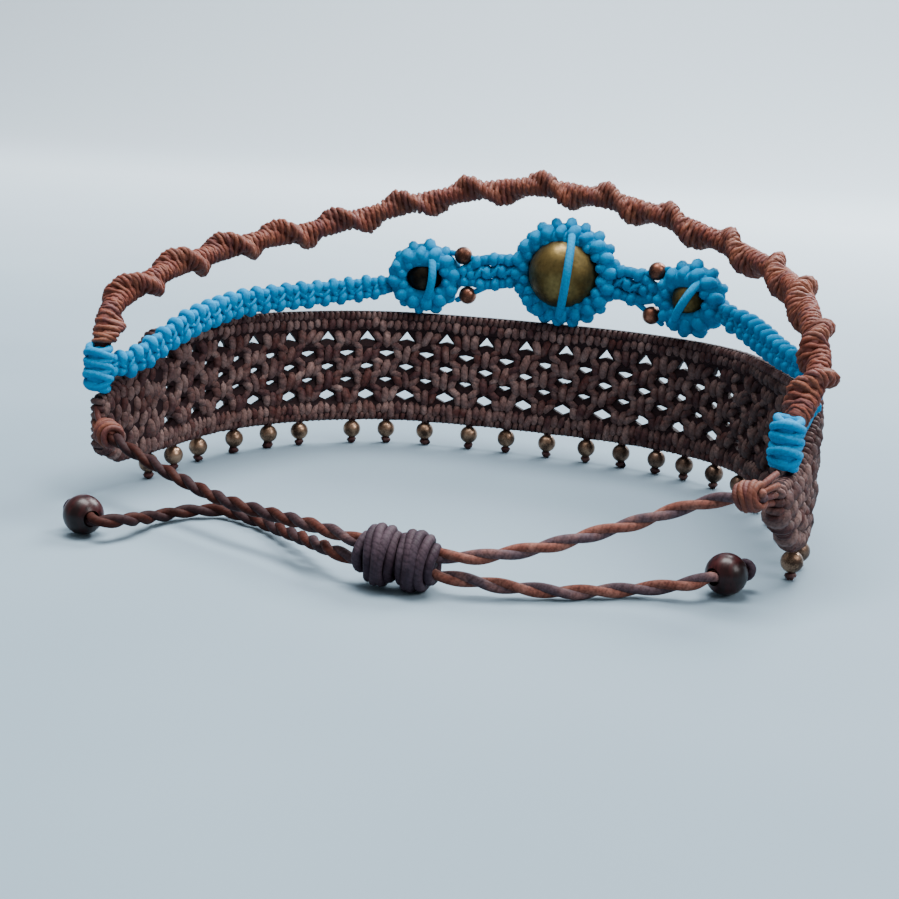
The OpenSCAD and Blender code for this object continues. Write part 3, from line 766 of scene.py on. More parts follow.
@dataclass
class NetBand:
    """The knotted net: a thin core with its gaps, and wraps of thread over it.

    A wrap is a closed turn of thread round the core, and a knot is a few wraps side by side. The painted
    shade is given as pairs of distance along the band and value.
    """

    half_pitch: float = 2.31
    first_gap: float = 11.0
    gap_count: int = 22
    ribs: Sequence[float] = (-1.02, 0.0, 1.02)
    knot_thread: float = 0.47
    knot_half: float = 0.66
    knot_lean: float = 8.0
    splay: float = 20.0
    spreads: Sequence[float] = (0.8, 0.93, 0.93, 0.93, 0.93)
    crossing_lean: float = 52.0
    wrap_half: float = 0.62
    hoop_points: int = 12
    column_step: float = 0.92
    wrap_step: float = 1.45
    # Painted shade: darker at the left end and most on the band's right part, which lies in shadow.
    shade: Rows = ((0, 0.35), (30, 0.1), (55, 0), (72, 0.25), (88, 0.75), (109, 0.75), (115, 0.35))
    core_share: float = 0.62
    core_inset: float = 0.4
    core_end: float = 0.6
    core_samples: int = 1200
    seed: int = 5

    def __post_init__(self) -> None:
        """Reads the band's plan and starts its threads."""
        self.plan = Route(ARCH)
        self.strands = Strands()
        self.last_gap = self.first_gap + 2 * self.gap_count * self.half_pitch
        self.random = np.random.default_rng(self.seed)

    def jitter(self, size: float, count: int) -> np.ndarray:
        """Returns random differences round zero, of about a size."""
        return self.random.normal(0, size, count)

    def edge(self, run: np.ndarray, which: int) -> np.ndarray:
        """Returns the height of the lower (1) or upper (2) edge."""
        table = np.array(EDGES)
        return BAND_BOTTOM + BAND_HEIGHT * np.interp(run, table[:, 0], table[:, which])

    def height(self, run: np.ndarray, share: float) -> np.ndarray:
        """Returns the height of a share of the band."""
        low, high = self.edge(run, 1), self.edge(run, 2)
        return low + share * (high - low)

    def frames(self, run: np.ndarray) -> tuple[np.ndarray, np.ndarray]:
        """Returns the band's way along and its way outward."""
        way = self.plan.ahead(run)
        return way, np.stack([-way[:, 1], way[:, 0], np.zeros(len(way))], axis=1)

    def points(self, run: np.ndarray, z: np.ndarray) -> np.ndarray:
        """Returns places on the band's middle."""
        at = self.plan.at(run)
        at[:, 2] = z
        return at

    def wraps(self, run: np.ndarray, z: np.ndarray, half: Size, tilt: np.ndarray, depth: Size = WRAP_DEPTH,
              radius: float = WRAP_THREAD) -> None:
        """Adds closed wraps over the core.

        Args:
            run: Distance along the band of each wrap.
            z: Height of each.
            half: Half height of each, to the thread's middle.
            tilt: Lean along the band, in degrees.
            depth: Half depth of a wrap.
            radius: The thread's radius.
        """
        way, out = self.frames(run)
        tall = leaning(np.radians(tilt)[:, None], UP, way)
        vary = self.random.uniform(-1, 1, (4, len(run)))
        lines = hoops(self.points(run, z), tall, out, half * (1 + 0.15 * vary[0]),
                      depth * (1 + 0.12 * vary[1]), self.hoop_points)
        shade = np.interp(run, *np.array(self.shade).T)
        tones = np.stack([0.45 + 0.45 * vary[2], (vary[3] > 0.2) * 0.7, shade], axis=1)
        self.strands.add(lines, radius * (1 + 0.1 * vary[1])[:, None], tones, flat=np.cross(tall, out))

    def knots(self, run: np.ndarray, z: np.ndarray, spread: float) -> None:
        """Adds knots of several ribs each, the outer ribs splayed and shorter.

        Args:
            run: Distance along the band of each knot.
            z: Height of each.
            spread: Less than one where the ribs lie closer together.
        """
        ribs = np.array(self.ribs)
        spot, offset = np.repeat(run, len(ribs)), np.tile(ribs, len(run))
        share = np.abs(offset) / ribs.max()
        lean = self.knot_lean + self.splay * offset + self.jitter(9, len(spot))
        lean = lean + np.repeat(self.jitter(8, len(run)), len(ribs))
        rise = np.repeat(z + self.jitter(0.1, len(run)), len(ribs)) + self.jitter(0.07, len(spot))
        self.wraps(spot + spread * offset, rise, self.knot_half * (1.12 - 0.26 * share), lean,
                   0.58 - 0.12 * share, self.knot_thread)

    def piping(self, line: np.ndarray, out: np.ndarray, step: float, size: float, radius: float) -> None:
        """Adds hitches round a line at an edge of the band.

        Args:
            line: Points along the edge.
            out: The band's way outward at each.
            step: Distance between hitches.
            size: Half size of a hitch inside the band's face.
            radius: The thread's radius.
        """
        runs = np.concatenate([[0.0], np.cumsum(np.linalg.norm(np.diff(line, axis=0), axis=1))])
        spot = np.arange(step / 2, runs[-1], step)
        at, way, face = (
            np.stack([np.interp(spot, runs, c) for c in rows.T], axis=1)
            for rows in (line, np.gradient(line, runs, axis=0), out)
        )
        way, face, count = unit(way), unit(face), len(spot)
        tall = unit(np.cross(way, face) + 0.28 * way + self.random.normal(0, 0.1, (count, 1)) * way)
        tones = np.stack([self.random.uniform(0, 0.6, count), self.random.uniform(0, 0.6, count),
                          np.full(count, 0.3)], axis=1)
        lines = hoops(at, tall, face, size, WRAP_DEPTH, self.hoop_points)
        self.strands.add(lines, radius, tones, flat=np.cross(tall, face))

    def core(self, finishes: Finishes) -> None:
        """Builds the thin core, which is the node's own shape drawn in toward the band's middle."""
        mesh = frame["nodes"]["net_band"].data.copy()
        piece = new_object("net_core", mesh)
        select_only(piece)
        bpy.ops.object.mode_set(mode="EDIT")
        bpy.ops.mesh.select_all(action="SELECT")
        bpy.ops.mesh.remove_doubles(threshold=1e-6)
        bpy.ops.object.mode_set(mode="OBJECT")
        at = np.array([v.co for v in mesh.vertices]) / MM + ORIGIN
        runs = np.linspace(0, self.plan.length, self.core_samples)
        line = self.plan.at(runs)[:, :2]
        near = np.argmin(np.linalg.norm(at[:, None, :2] - line[None], axis=2), axis=1)
        way, out = (rows[near, :2] for rows in self.frames(runs))
        off = np.sum((at[:, :2] - line[near]) * out, axis=1)
        at[:, :2] -= ((1 - self.core_share) * off)[:, None] * out
        starts, ends = runs[near] < self.core_end, runs[near] > self.plan.length - self.core_end
        past = np.where(starts, self.core_inset, np.where(ends, -self.core_inset, 0))
        at[:, :2] += past[:, None] * way
        mesh.vertices.foreach_set("co", to_part(at).ravel())
        mesh.polygons.foreach_set("use_smooth", [False] * len(mesh.polygons))
        mesh.update()
        # The core's darker finish is painted shade between the knots.
        finishes.keep(piece, "net_core_thread", "dark_cord", "net_band")

    def build(self, finishes: Finishes) -> None:
        """Builds the core, the knots round the gaps, the edges and the bead loops."""
        self.core(finishes)
        for name, fill in (("net_knots", self.knotting), ("net_edging", self.edging)):
            self.strands = Strands()
            fill()
            finishes.keep(self.strands.piece(name), "dark_thread", "dark_cord")

    def knotting(self) -> None:
        """Adds the knots between each row's gaps, the threads that cross between rows, and the solid ends."""
        for row, (share, spread) in enumerate(zip(GAP_ROWS, self.spreads)):
            count = self.gap_count - row % 2 + 1
            run = self.first_gap + (2 * np.arange(count) - 1 + row % 2) * self.half_pitch
            self.knots(run + self.jitter(0.09, count), self.height(run, share), spread)
        run = self.first_gap + (np.arange(2 * self.gap_count) - 0.5) * self.half_pitch
        for row, (share, above) in enumerate(zip(GAP_ROWS[:-1], GAP_ROWS[1:])):
            way = np.where((np.arange(len(run)) + row) % 2 == 0, 1, -1)
            self.wraps(run, self.height(run, (share + above) / 2), self.wrap_half,
                       way * self.crossing_lean + self.jitter(7, len(run)))
        self.solid_end(start=0.8, end=self.first_gap - 2.6, lean=6, depth=WRAP_DEPTH)
        self.solid_end(start=self.last_gap - 2.2, end=self.plan.length - 0.7, lean=-34, depth=0.72)

    def solid_end(self, start: float, end: float, lean: float, depth: float) -> None:
        """Adds columns of wraps where the band has no gaps.

        Args:
            start: Distance along the band of the first column.
            end: Where the columns stop.
            lean: Lean of the wraps along the band, in degrees.
            depth: Half depth of a wrap.
        """
        for run in np.arange(start, end, self.column_step):
            low, high = self.edge(run, 1) + 1.0, self.edge(run, 2) - 1.3
            z = np.linspace(low, high, max(2, round((high - low) / self.wrap_step) + 1))
            z = z + self.random.uniform(-0.25, 0.25, len(z))
            self.wraps(np.full(len(z), run) + self.jitter(0.12, len(z)), z, self.wrap_half,
                       lean + self.jitter(12, len(z)), depth, radius=0.45)

    def edging(self) -> None:
        """Adds the hitches round the band's edges, its outer rows, and the loops with their knots."""
        run = np.arange(0.5, self.plan.length - 0.3, 0.35)
        _, out = self.frames(run)
        self.piping(self.points(run, self.edge(run, 2) - 0.5), out, step=0.62, size=0.28, radius=0.29)
        self.piping(self.points(run, self.edge(run, 1) + 0.52), out, step=0.7, size=0.34, radius=0.31)
        for end in (0.45, self.plan.length - 0.45):
            at = np.full(24, end)
            z = np.linspace(self.edge(end, 1) + 0.5, self.edge(end, 2) - 0.6, len(at))
            self.piping(self.points(at, z), self.frames(at)[1], step=0.7, size=0.24, radius=0.36)
        run = np.arange(0.9, self.plan.length - 1.5, 0.86)
        self.wraps(run, self.edge(run, 2) - 1.4 + self.jitter(0.1, len(run)), half=0.4,
                   tilt=10 + self.jitter(12, len(run)))
        run = np.arange(self.first_gap - self.half_pitch, self.last_gap, self.half_pitch / 3)
        third = np.arange(len(run)) % 3 == 1
        self.wraps(run, self.edge(run, 1) + np.where(third, 1.15, 1.45), half=np.where(third, 0.8, 0.5),
                   tilt=8 + self.jitter(10, len(run)), radius=0.42)
        for run in EDGE_BEADS:
            self.bead_loop(run)

    def bead_loop(self, run: float) -> None:
        """Adds the two threads through an edge bead and the three turns of the knot under it."""
        at, way = self.plan.at(np.array([run]))[0], self.frames(np.array([run]))[0]
        z = np.linspace(BAND_BOTTOM + 0.5, 0.45, 8)
        spread = np.interp(z, [0.4, 2.6, 3.4], [0.5, 0.8, 2.6])
        for side in (-0.17, 0.17):
            line = at + side * spread[:, None] * way
            line[:, 2] = z
            self.strands.tube(line, 0.22, (0.2, 0.2, 0), sides=6)
        for k, (size, lift, radius) in enumerate(((0.32, 0.42, 0.25), (0.26, 0.36, 0.2), (0.24, 0.34, 0.2))):
            turn = k * 1.6 + run
            tall = unit(np.array([[math.cos(turn), math.sin(turn), 0.25]]))
            deep = unit(np.cross(tall, UP)) if k == 0 else UP[None] * 0.7
            line = hoops(np.array([[at[0], at[1], lift]]), tall, deep, size, size, 10, square=1.0)
            self.strands.add(line, radius, [(0, 0.1, 0)], flat=np.cross(tall, unit(deep)))


@dataclass
class Ribbon:
    """A length of blue square knots: rows of round bumps with fine threads between them."""

    name: str
    rows: Rows
    height: float = 2.9
    thickness: float = 1.6
    step: float = 0.99
    short: float = 0.35
    thread: float = 0.47
    rows_of_knots: int = 2
    bump_sizes: Sequence[float] = (1.12, 0.62)
    bump_leans: Sequence[float] = (12, 34)
    fine_thread: float = 0.24
    fine_lean: float = 44.0
    fine_share: float = 0.22
    core: float = 0.45
    reach: float = 0.9
    tail_thread: float = 0.42
    shade: float = 0.0
    tails: Sequence[Rows] = ()
    seed: int = 11

    def build(self, finishes: Finishes, strands: Optional[Strands] = None) -> bpy.types.Object:
        """Returns the ribbon's finished piece.

        Args:
            finishes: The bracelet's finishes.
            strands: Threads that are already part of the piece.
        """
        random = np.random.default_rng(self.seed)
        route = Route(raised(self.rows))
        runs = route.even(self.step, self.short)
        read, ahead = route.read(runs), route.ahead(runs)
        at, swell = read[:, :3], read[:, 3]
        side, over = square_to(ahead)
        strands = strands or Strands()
        index, count = np.arange(len(runs)), len(runs)
        thinner = 0.6 + 0.4 * swell
        for k in range(self.rows_of_knots):
            across = (k - (self.rows_of_knots - 1) / 2) / self.rows_of_knots * self.height * swell
            place = at + across[:, None] * over
            # The core under the knots is darkened with painted shade.
            strands.tube(self.longer(place), self.core, (0.3, 0.3, 0.6), sides=8)
            beat = (index + k) % 2
            size = np.choose(beat, self.bump_sizes) + random.normal(0, 0.04, count)
            lean = np.radians(np.choose(beat, self.bump_leans) + random.normal(0, 8, count))[:, None]
            tall = leaning(lean, over, ahead)
            half = self.height / 2 / self.rows_of_knots * swell * size - self.thread + 0.08
            depth = (self.thickness / 2 + 0.1 - self.thread) * (0.3 + 0.7 * size) * thinner
            tones = random_tones(random, count, self.shade)
            lines = hoops(place, tall, side, np.maximum(half, 0.12), depth)
            radius = self.thread * (0.7 + 0.3 * size)[:, None]
            strands.add(lines, radius, tones, sides=8, flat=np.cross(tall, side))
        # The middle core is darkened with painted shade.
        strands.tube(self.longer(at), self.core, (0.2, 0.4, 0.6), sides=8)
        lean = np.where(index % 2 == 0, self.fine_lean, -self.fine_lean) + random.normal(0, 8, count)
        tall = leaning(np.radians(lean)[:, None], over, ahead)
        tones = random_tones(random, count, self.shade, low=0.2)
        depth = self.thickness / 2 * thinner - self.fine_thread
        lines = hoops(at, tall, side, self.height * self.fine_share * swell, depth, 12)
        strands.add(lines, self.fine_thread, tones, flat=np.cross(tall, side))
        for rows in self.tails:
            line = Route(raised(rows)).parts(10)
            strands.tube(*rounded(line, self.tail_thread), (0.5, 0.2, self.shade), sides=10)
        return finishes.keep(strands.piece(self.name + "_knots"), "blue_thread", "blue_cord", self.name)

    def longer(self, line: np.ndarray) -> np.ndarray:
        """Returns a line that reaches past both ends, toward the ribbon's neighbours."""
        head = line[0] + self.reach * unit(line[0] - line[1])
        tail = line[-1] + self.reach * unit(line[-1] - line[-2])
        return np.concatenate([[head], line, [tail]])


@dataclass
class Link(Ribbon):
    """A short blue link between two bezels, with the threads of its copper beads."""

    step: float = 0.95
    thread: float = 0.52
    rows_of_knots: int = 3
    core: float = 0.62
    bead_thread: float = 0.32
    beads: Rows = ()

    def build(self, finishes: Finishes, strands: Optional[Strands] = None) -> bpy.types.Object:
        """Returns the link's finished piece."""
        strands = strands or Strands()
        for row in self.beads:
            middle, root = bead_and_root(row)
            line = np.linspace(middle - 0.6 * (root - middle), root, 8)
            strands.tube(*rounded(line, self.bead_thread), (0.5, 0.2, 0), sides=8)
        return super().build(finishes, strands)


def bead_and_root(row: Sequence[float]) -> tuple[np.ndarray, np.ndarray]:
    """Returns the middle of a copper bead, and the place in the link that its thread comes from."""
    middle, root = raised((row[:3], row[3:]))
    return np.array(middle), np.array(root)


@dataclass(frozen=True)
class KnotRow:
    """A row of knots round a bezel: its place outward and forward, its knots' size and slant in degrees."""

    start: float
    lift: float
    rise: float
    half: float
    thread: float
    slant: float


@dataclass
class Bezel:
    """A ring of knots round a set bead, with the cord that crosses the bead."""

    name: str
    x: float
    y: float
    z: float
    turn: float
    outer: float
    cross_lean: float
    cross_turn: float
    bead: float
    knots: int
    rows: Sequence[KnotRow] = (
        KnotRow(0.25, 0.22, 0.45, 0.2, 0.68, 14),
        KnotRow(0.75, 0.24, -0.7, 0.2, 0.64, -12),
        KnotRow(0.75, -0.46, 0.8, 0.14, 0.52, -20),
    )
    stuffing: float = 0.2
    shade: float = 0.0
    seat: float = 0.25
    knot_depth: float = 0.403
    forward: float = 0.5
    inward: float = 36.0
    eye: float = 0.045
    cross_d: float = 0.9
    bead_thread: float = 0.3
    seed: int = 23

    def __post_init__(self) -> None:
        """Places the ring, whose axis is its own Z, and starts its threads."""
        spin = Matrix.Rotation(math.radians(self.turn), 4, "Z") @ Matrix.Rotation(math.radians(90), 4, "X")
        self.placed = np.array(Matrix.Translation((self.x, self.y, BAND_TOP + self.z)) @ spin)
        self.inner = self.bead / 2 + self.seat
        self.strands = Strands()
        self.random = np.random.default_rng(self.seed)

    def ring(self, count: int, start: float = 0.5) -> tuple[np.ndarray, np.ndarray, np.ndarray, np.ndarray]:
        """Returns angles round the ring, and its way outward, its way along and its middle line."""
        phi = 2 * math.pi * (np.arange(count) + start) / count
        way = np.stack([np.cos(phi), np.sin(phi), 0 * phi], axis=1)
        along = np.stack([-np.sin(phi), np.cos(phi), 0 * phi], axis=1)
        middle = (self.inner + self.outer / 2) / 2
        return phi, way, along, way * (middle * (1 + self.eye * np.cos(2 * phi)))[:, None]

    def build(self, finishes: Finishes) -> bpy.types.Object:
        """Returns the bezel's finished piece."""
        self.stuff()
        for row in self.rows:
            self.knot_row(row)
        self.threads()
        return finishes.keep(self.strands.piece(self.name + "_knots"), "blue_thread", "blue_cord", self.name)

    def stuff(self) -> None:
        """Adds the thick hoops inside the ring, which lie under its knots."""
        phi, way, _, core = self.ring(48)
        top = (0.5 - 0.5 * np.cos(2 * phi))[:, None]
        radius = (self.outer / 2 - self.inner) / 2 + self.stuffing
        for share in (0.0, 0.5, 1.0):
            line = core + share * (self.forward * (0.9 + 0.9 * top) * UP - (0.25 + 0.5 * top) * way)
            # The hoops under the knots are darkened with painted shade.
            self.strands.add(
                self.moved(line[None]), radius, [(0.1, 0.4, 0.7)], sides=10, flat=self.turned(UP)[None])

    def knot_row(self, row: KnotRow) -> None:
        """Adds a row of knots round the ring."""
        count, random = self.knots, self.random
        phi, way, along, centre = self.ring(count, row.start)
        size = 1 + random.normal(0, 0.07, count)
        lean = np.radians(row.slant + random.normal(0, 6, count))[:, None]
        tip = np.radians(self.inward) * (0.6 - 0.4 * np.cos(2 * phi))[:, None]
        out, front = leaning(tip, way, UP), np.cos(tip) * UP - np.sin(tip) * way
        deep = leaning(lean, front, along)
        tall = unit(np.cos(lean) * out + 0.5 * np.sin(lean) * along)
        tones = random_tones(random, count, self.shade)
        push = (row.lift * out + row.rise * front
                + self.forward * (0.75 - 0.45 * np.cos(2 * phi))[:, None] * UP)
        lines = hoops(centre + push, tall, deep, row.half * size, self.knot_depth, 12, square=1.0)
        flat = self.turned(np.cross(tall, deep))
        self.strands.add(self.moved(lines), row.thread * size[:, None], tones, sides=8, flat=flat)

    def threads(self) -> None:
        """Adds the cord that crosses the bead, and the thread through the bead's bore."""
        cross_r = self.inner + self.cross_d / 2 + 0.05
        arc = np.radians(np.linspace(-4, 184, 30))
        bow = np.stack([cross_r * np.cos(arc), cross_r * np.sin(arc), 0 * arc], axis=1)
        spin = Matrix.Rotation(math.radians(90 - self.cross_lean), 3, "Z") @ Matrix.Rotation(
            math.radians(90 + self.cross_turn), 3, "X")
        self.strands.tube(self.moved(bow @ np.array(spin).T), self.cross_d / 2, (0.7, 0.1, 0), sides=10)
        past = self.inner + 0.3
        line, radii = rounded(np.linspace((-past, 0, 0), (past, 0, 0), 12), self.bead_thread)
        self.strands.tube(self.moved(line), radii, (0.2, 0.5, 0), sides=6)

    def turned(self, ways: np.ndarray) -> np.ndarray:
        """Returns ways of the ring's own frame in the maker's frame."""
        return ways @ self.placed[:3, :3].T

    def moved(self, points: np.ndarray) -> np.ndarray:
        """Returns points of the ring's own frame in the maker's frame."""
        return self.turned(points) + self.placed[:3, 3]


# The centre and right bezels are darkened with painted shade, the right one most.
CENTRE_BEZEL = Bezel("centre_bezel", x=1.4, y=31, z=5.75, turn=0, outer=11, cross_lean=6,
                     cross_turn=19, bead=8, knots=20, shade=0.15)
LEFT_BEZEL = Bezel("side_bezel_left", x=-14.4, y=28.8, z=4.1, turn=17, outer=7.5, cross_lean=6,
                   cross_turn=22, bead=4, knots=12)
RIGHT_BEZEL = Bezel("side_bezel_right", x=16, y=29.5, z=4.4, turn=-17, outer=7.4, cross_lean=30,
                    cross_turn=12, bead=4, knots=12, shade=0.4)


@dataclass
class SpiralStrand:
    """Half knots round a core along a route, with one ridge that winds round it."""

    width: float = 2.8
    thickness: float = 2.1
    step: float = 0.32
    short: float = 0.2
    thread: float = 0.2
    points: int = 24
    pearls: int = 6
    crossing: float = 0.22
    inner: float = 0.9
    crest_off: float = 1.0
    crest_radius: float = 0.64
    knobs: Sequence[float] = (1.1, 1.2, 1.15, 1.0)
    seed: int = 31

    def build(self, finishes: Finishes) -> bpy.types.Object:
        """Returns the strand's finished piece."""
        random = np.random.default_rng(self.seed)
        route = Route(raised(SPIRAL))
        runs = route.even(self.step, self.short)
        index, count = np.arange(len(runs)), len(runs)
        at, ahead = route.at(runs), route.ahead(runs)
        side, over = square_to(ahead)
        ridge = math.pi / 2 + 2 * math.pi * np.interp(runs, SPIRAL_TOPS, np.arange(len(SPIRAL_TOPS)))
        crest = at + self.crest_off * (np.cos(ridge)[:, None] * side + np.sin(ridge)[:, None] * over)
        whole = np.concatenate([at[:1] - self.inner * ahead[:1], at, at[-1:] + self.inner * ahead[-1:]])
        strands = Strands()
        strands.tube(whole, self.inner, (0.2, 0.5, 0), sides=10)
        strands.tube(crest, self.crest_radius, (0.2, 0.5, 0), sides=8)
        angle = 2 * math.pi * np.arange(self.points) / self.points
        around = angle[None] + ridge[:, None]
        knob = np.choose(index % 4, self.knobs) + random.normal(0, 0.03, count)
        bulge = knob[:, None] * np.maximum(0, np.cos(angle)) ** 4
        reach = self.thickness / 2 - self.thread + (self.width - self.thickness + 0.1) * bulge
        reach = reach * (1 + random.normal(0, 0.012, (count, 1)))
        way = np.where(index % 2 == 1, 1.0, -1.0)[:, None] * self.crossing
        tip = way * np.cos(angle + math.pi / 2 + random.normal(0, 0.3, (count, 1)))
        lines = at[:, None] + (reach * np.cos(around))[..., None] * side[:, None]
        lines = lines + (reach * np.sin(around))[..., None] * over[:, None] + tip[..., None] * ahead[:, None]
        pearl = np.cos(
            self.pearls * angle[None] + math.pi * index[:, None] + random.normal(0, 0.4, (count, 1)))
        radius = self.thread * (1 + 0.3 * np.maximum(0, np.cos(angle))[None] + 0.22 * pearl)
        # Random lightness, plus a painted highlight on one side of the ridge and painted shade on the other
        # side.
        light = random.uniform(0, 0.6, (count, 1)) + 0.35 * np.maximum(0, np.cos(angle + 0.7)) ** 2
        second = random.uniform(0, 1, (count, 1)) ** 2
        shade = 0.55 * np.maximum(0, np.cos(angle - 0.9)) ** 3
        strands.add(lines, radius, np.stack(np.broadcast_arrays(light, second, shade), axis=-1), flat=ahead)
        piece = strands.piece("spiral_strand_knots")
        return finishes.keep(piece, "spiral_thread", "orange_purple_cord", "spiral_strand")


@dataclass(frozen=True)
class Axis:
    """The axis of a wrap: its middle, its turn and its lean from upright in degrees, and its length."""

    x: float
    y: float
    z: float
    turn: float
    lean: float
    length: float

    def ends(self) -> tuple[np.ndarray, np.ndarray]:
        """Returns the axis's two ends."""
        turn, lean = math.radians(self.turn), math.radians(self.lean)
        way = np.array(Matrix.Rotation(turn, 3, "Z") @ Matrix.Rotation(lean, 3, "Y") @ Vector((0, 0, 1)))
        middle = np.array([self.x, self.y, self.z])
        return middle - way * self.length / 2, middle + way * self.length / 2


@dataclass
class Wrap:
    """Turns of thread wound closely round an axis, each of its own outer diameter."""

    name: str
    start: Sequence[float]
    end: Sequence[float]
    outer: Sequence[float]
    thread: float
    finish: str
    slot: str
    core: float
    lean: float = 0.0
    loose: float = 0.1
    crossing: float = 0.0
    fan: Sequence[Rows] = ()
    shade: float = 0.0
    seed: int = 41

    POINTS = 26

    def build(self, finishes: Finishes) -> bpy.types.Object:
        """Returns the wrap's finished piece."""
        random = np.random.default_rng(self.seed)
        start, end = np.array(self.start, float), np.array(self.end, float)
        axis = unit(end - start)
        count = len(self.outer)
        index = np.arange(count)[:, None]
        centre = start + (index + 0.5) / count * (end - start)
        first = unit(np.cross(axis, [0.0, 1.0, 0.1]))
        second = np.cross(axis, first)
        tip = math.tan(math.radians(self.lean)) + self.loose * random.normal(0, 1, (count, 1))
        swing = self.crossing * (1 - 2 * (index % 2))
        tall = unit(first + tip * first[0] * axis)
        deep = unit(second + (tip * second[0] + swing + self.loose * random.normal(0, 1, (count, 1))) * axis)
        radius = np.array(self.outer) / 2 - self.thread
        lines = hoops(centre, tall, deep, radius, radius, self.POINTS, square=1.0)
        turn = 2 * math.pi * np.arange(self.POINTS) / self.POINTS
        wave = self.loose * np.sin(turn * 2 + random.uniform(0, 6, (count, 1)))
        strands = Strands()
        tones = random_tones(random, count, self.shade, 0.1, 0.7)
        strands.add(lines + wave[..., None] * axis, self.thread, tones, sides=10, flat=np.cross(tall, deep))
        line = np.linspace(start + self.core * axis, end - self.core * axis, 6)
        strands.tube(*rounded(line, self.core), (0.1, 0.5, 0), sides=12)
        for rows in self.fan:
            tone = (random.uniform(0, 0.8), random.uniform(0, 1), self.shade)
            strands.tube(*rounded(Route(rows).parts(8), self.thread), tone, sides=8)
        return finishes.keep(strands.piece(self.name + "_turns"), self.finish, self.slot, self.name)


@dataclass(frozen=True)
class BeadKind:
    """A ball with a bore along its own Z and a softened rim, and what it is made of."""

    diameter: float
    bore: float
    segments: int
    rings: int
    finish: str
    slot: str

    def mesh(self) -> bpy.types.Mesh:
        """Returns the bead's mesh in metres, round its own middle."""
        radius, bore = self.diameter / 2 * MM, self.bore / 2 * MM
        bpy.ops.mesh.primitive_uv_sphere_add(segments=self.segments, ring_count=self.rings, radius=radius)
        ball = bpy.context.active_object
        select_only(ball)
        bpy.ops.object.mode_set(mode="EDIT")
        rim = math.sqrt(radius ** 2 - bore ** 2)
        for sign in (1, -1):
            bpy.ops.mesh.select_all(action="SELECT")
            bpy.ops.mesh.bisect(plane_co=(0, 0, sign * rim), plane_no=(0, 0, sign), clear_outer=True)
        bpy.ops.object.mode_set(mode="OBJECT")
        self.select_rims(ball.data, rim)
        bpy.ops.object.mode_set(mode="EDIT")
        bpy.ops.mesh.select_mode(type="EDGE")
        bpy.ops.mesh.bridge_edge_loops()
        bpy.ops.mesh.select_all(action="SELECT")
        bpy.ops.mesh.normals_make_consistent(inside=False)
        bpy.ops.object.mode_set(mode="OBJECT")
        self.select_rims(ball.data, rim)
        bpy.ops.object.mode_set(mode="EDIT")
        bpy.ops.mesh.bevel(offset=0.05 * radius, segments=2, affect="EDGES")
        bpy.ops.object.mode_set(mode="OBJECT")
        bpy.ops.object.shade_smooth_by_angle(angle=math.radians(50))
        made = ball.data
        bpy.data.objects.remove(ball)
        return made

    @staticmethod
    def select_rims(mesh: bpy.types.Mesh, rim: float) -> None:
        """Selects only the edges round the two ends of the bore, which lie at the height rim."""
        on = [abs(abs(v.co.z) - rim) < 1e-7 for v in mesh.vertices]
        mesh.polygons.foreach_set("select", [False] * len(mesh.polygons))
        mesh.vertices.foreach_set("select", on)
        mesh.edges.foreach_set("select", [on[e.vertices[0]] and on[e.vertices[1]] for e in mesh.edges])


EDGE_BEAD = BeadKind(2.0, 0.84, 24, 14, "bronze", "bronze_bead")
# The edge bead in the darker bronze, as painted shade.
SHADED_EDGE_BEAD = BeadKind(2.0, 0.84, 24, 14, "dull_bronze", "bronze_bead")
COPPER_BEAD = BeadKind(2.0, 0.84, 24, 14, "copper", "copper_bead")
DARK_SIDE_BEAD = BeadKind(4.0, 0.84, 36, 22, "dark_brass", "dark_bead")
SIDE_BEAD = BeadKind(4.0, 0.84, 36, 22, "brass", "brass_bead")
CENTRE_BEAD = BeadKind(8.0, 0.84, 56, 36, "brass", "brass_bead")
WOODEN_BEAD = BeadKind(3.6, 1.85, 36, 22, "wood", "wooden_bead")


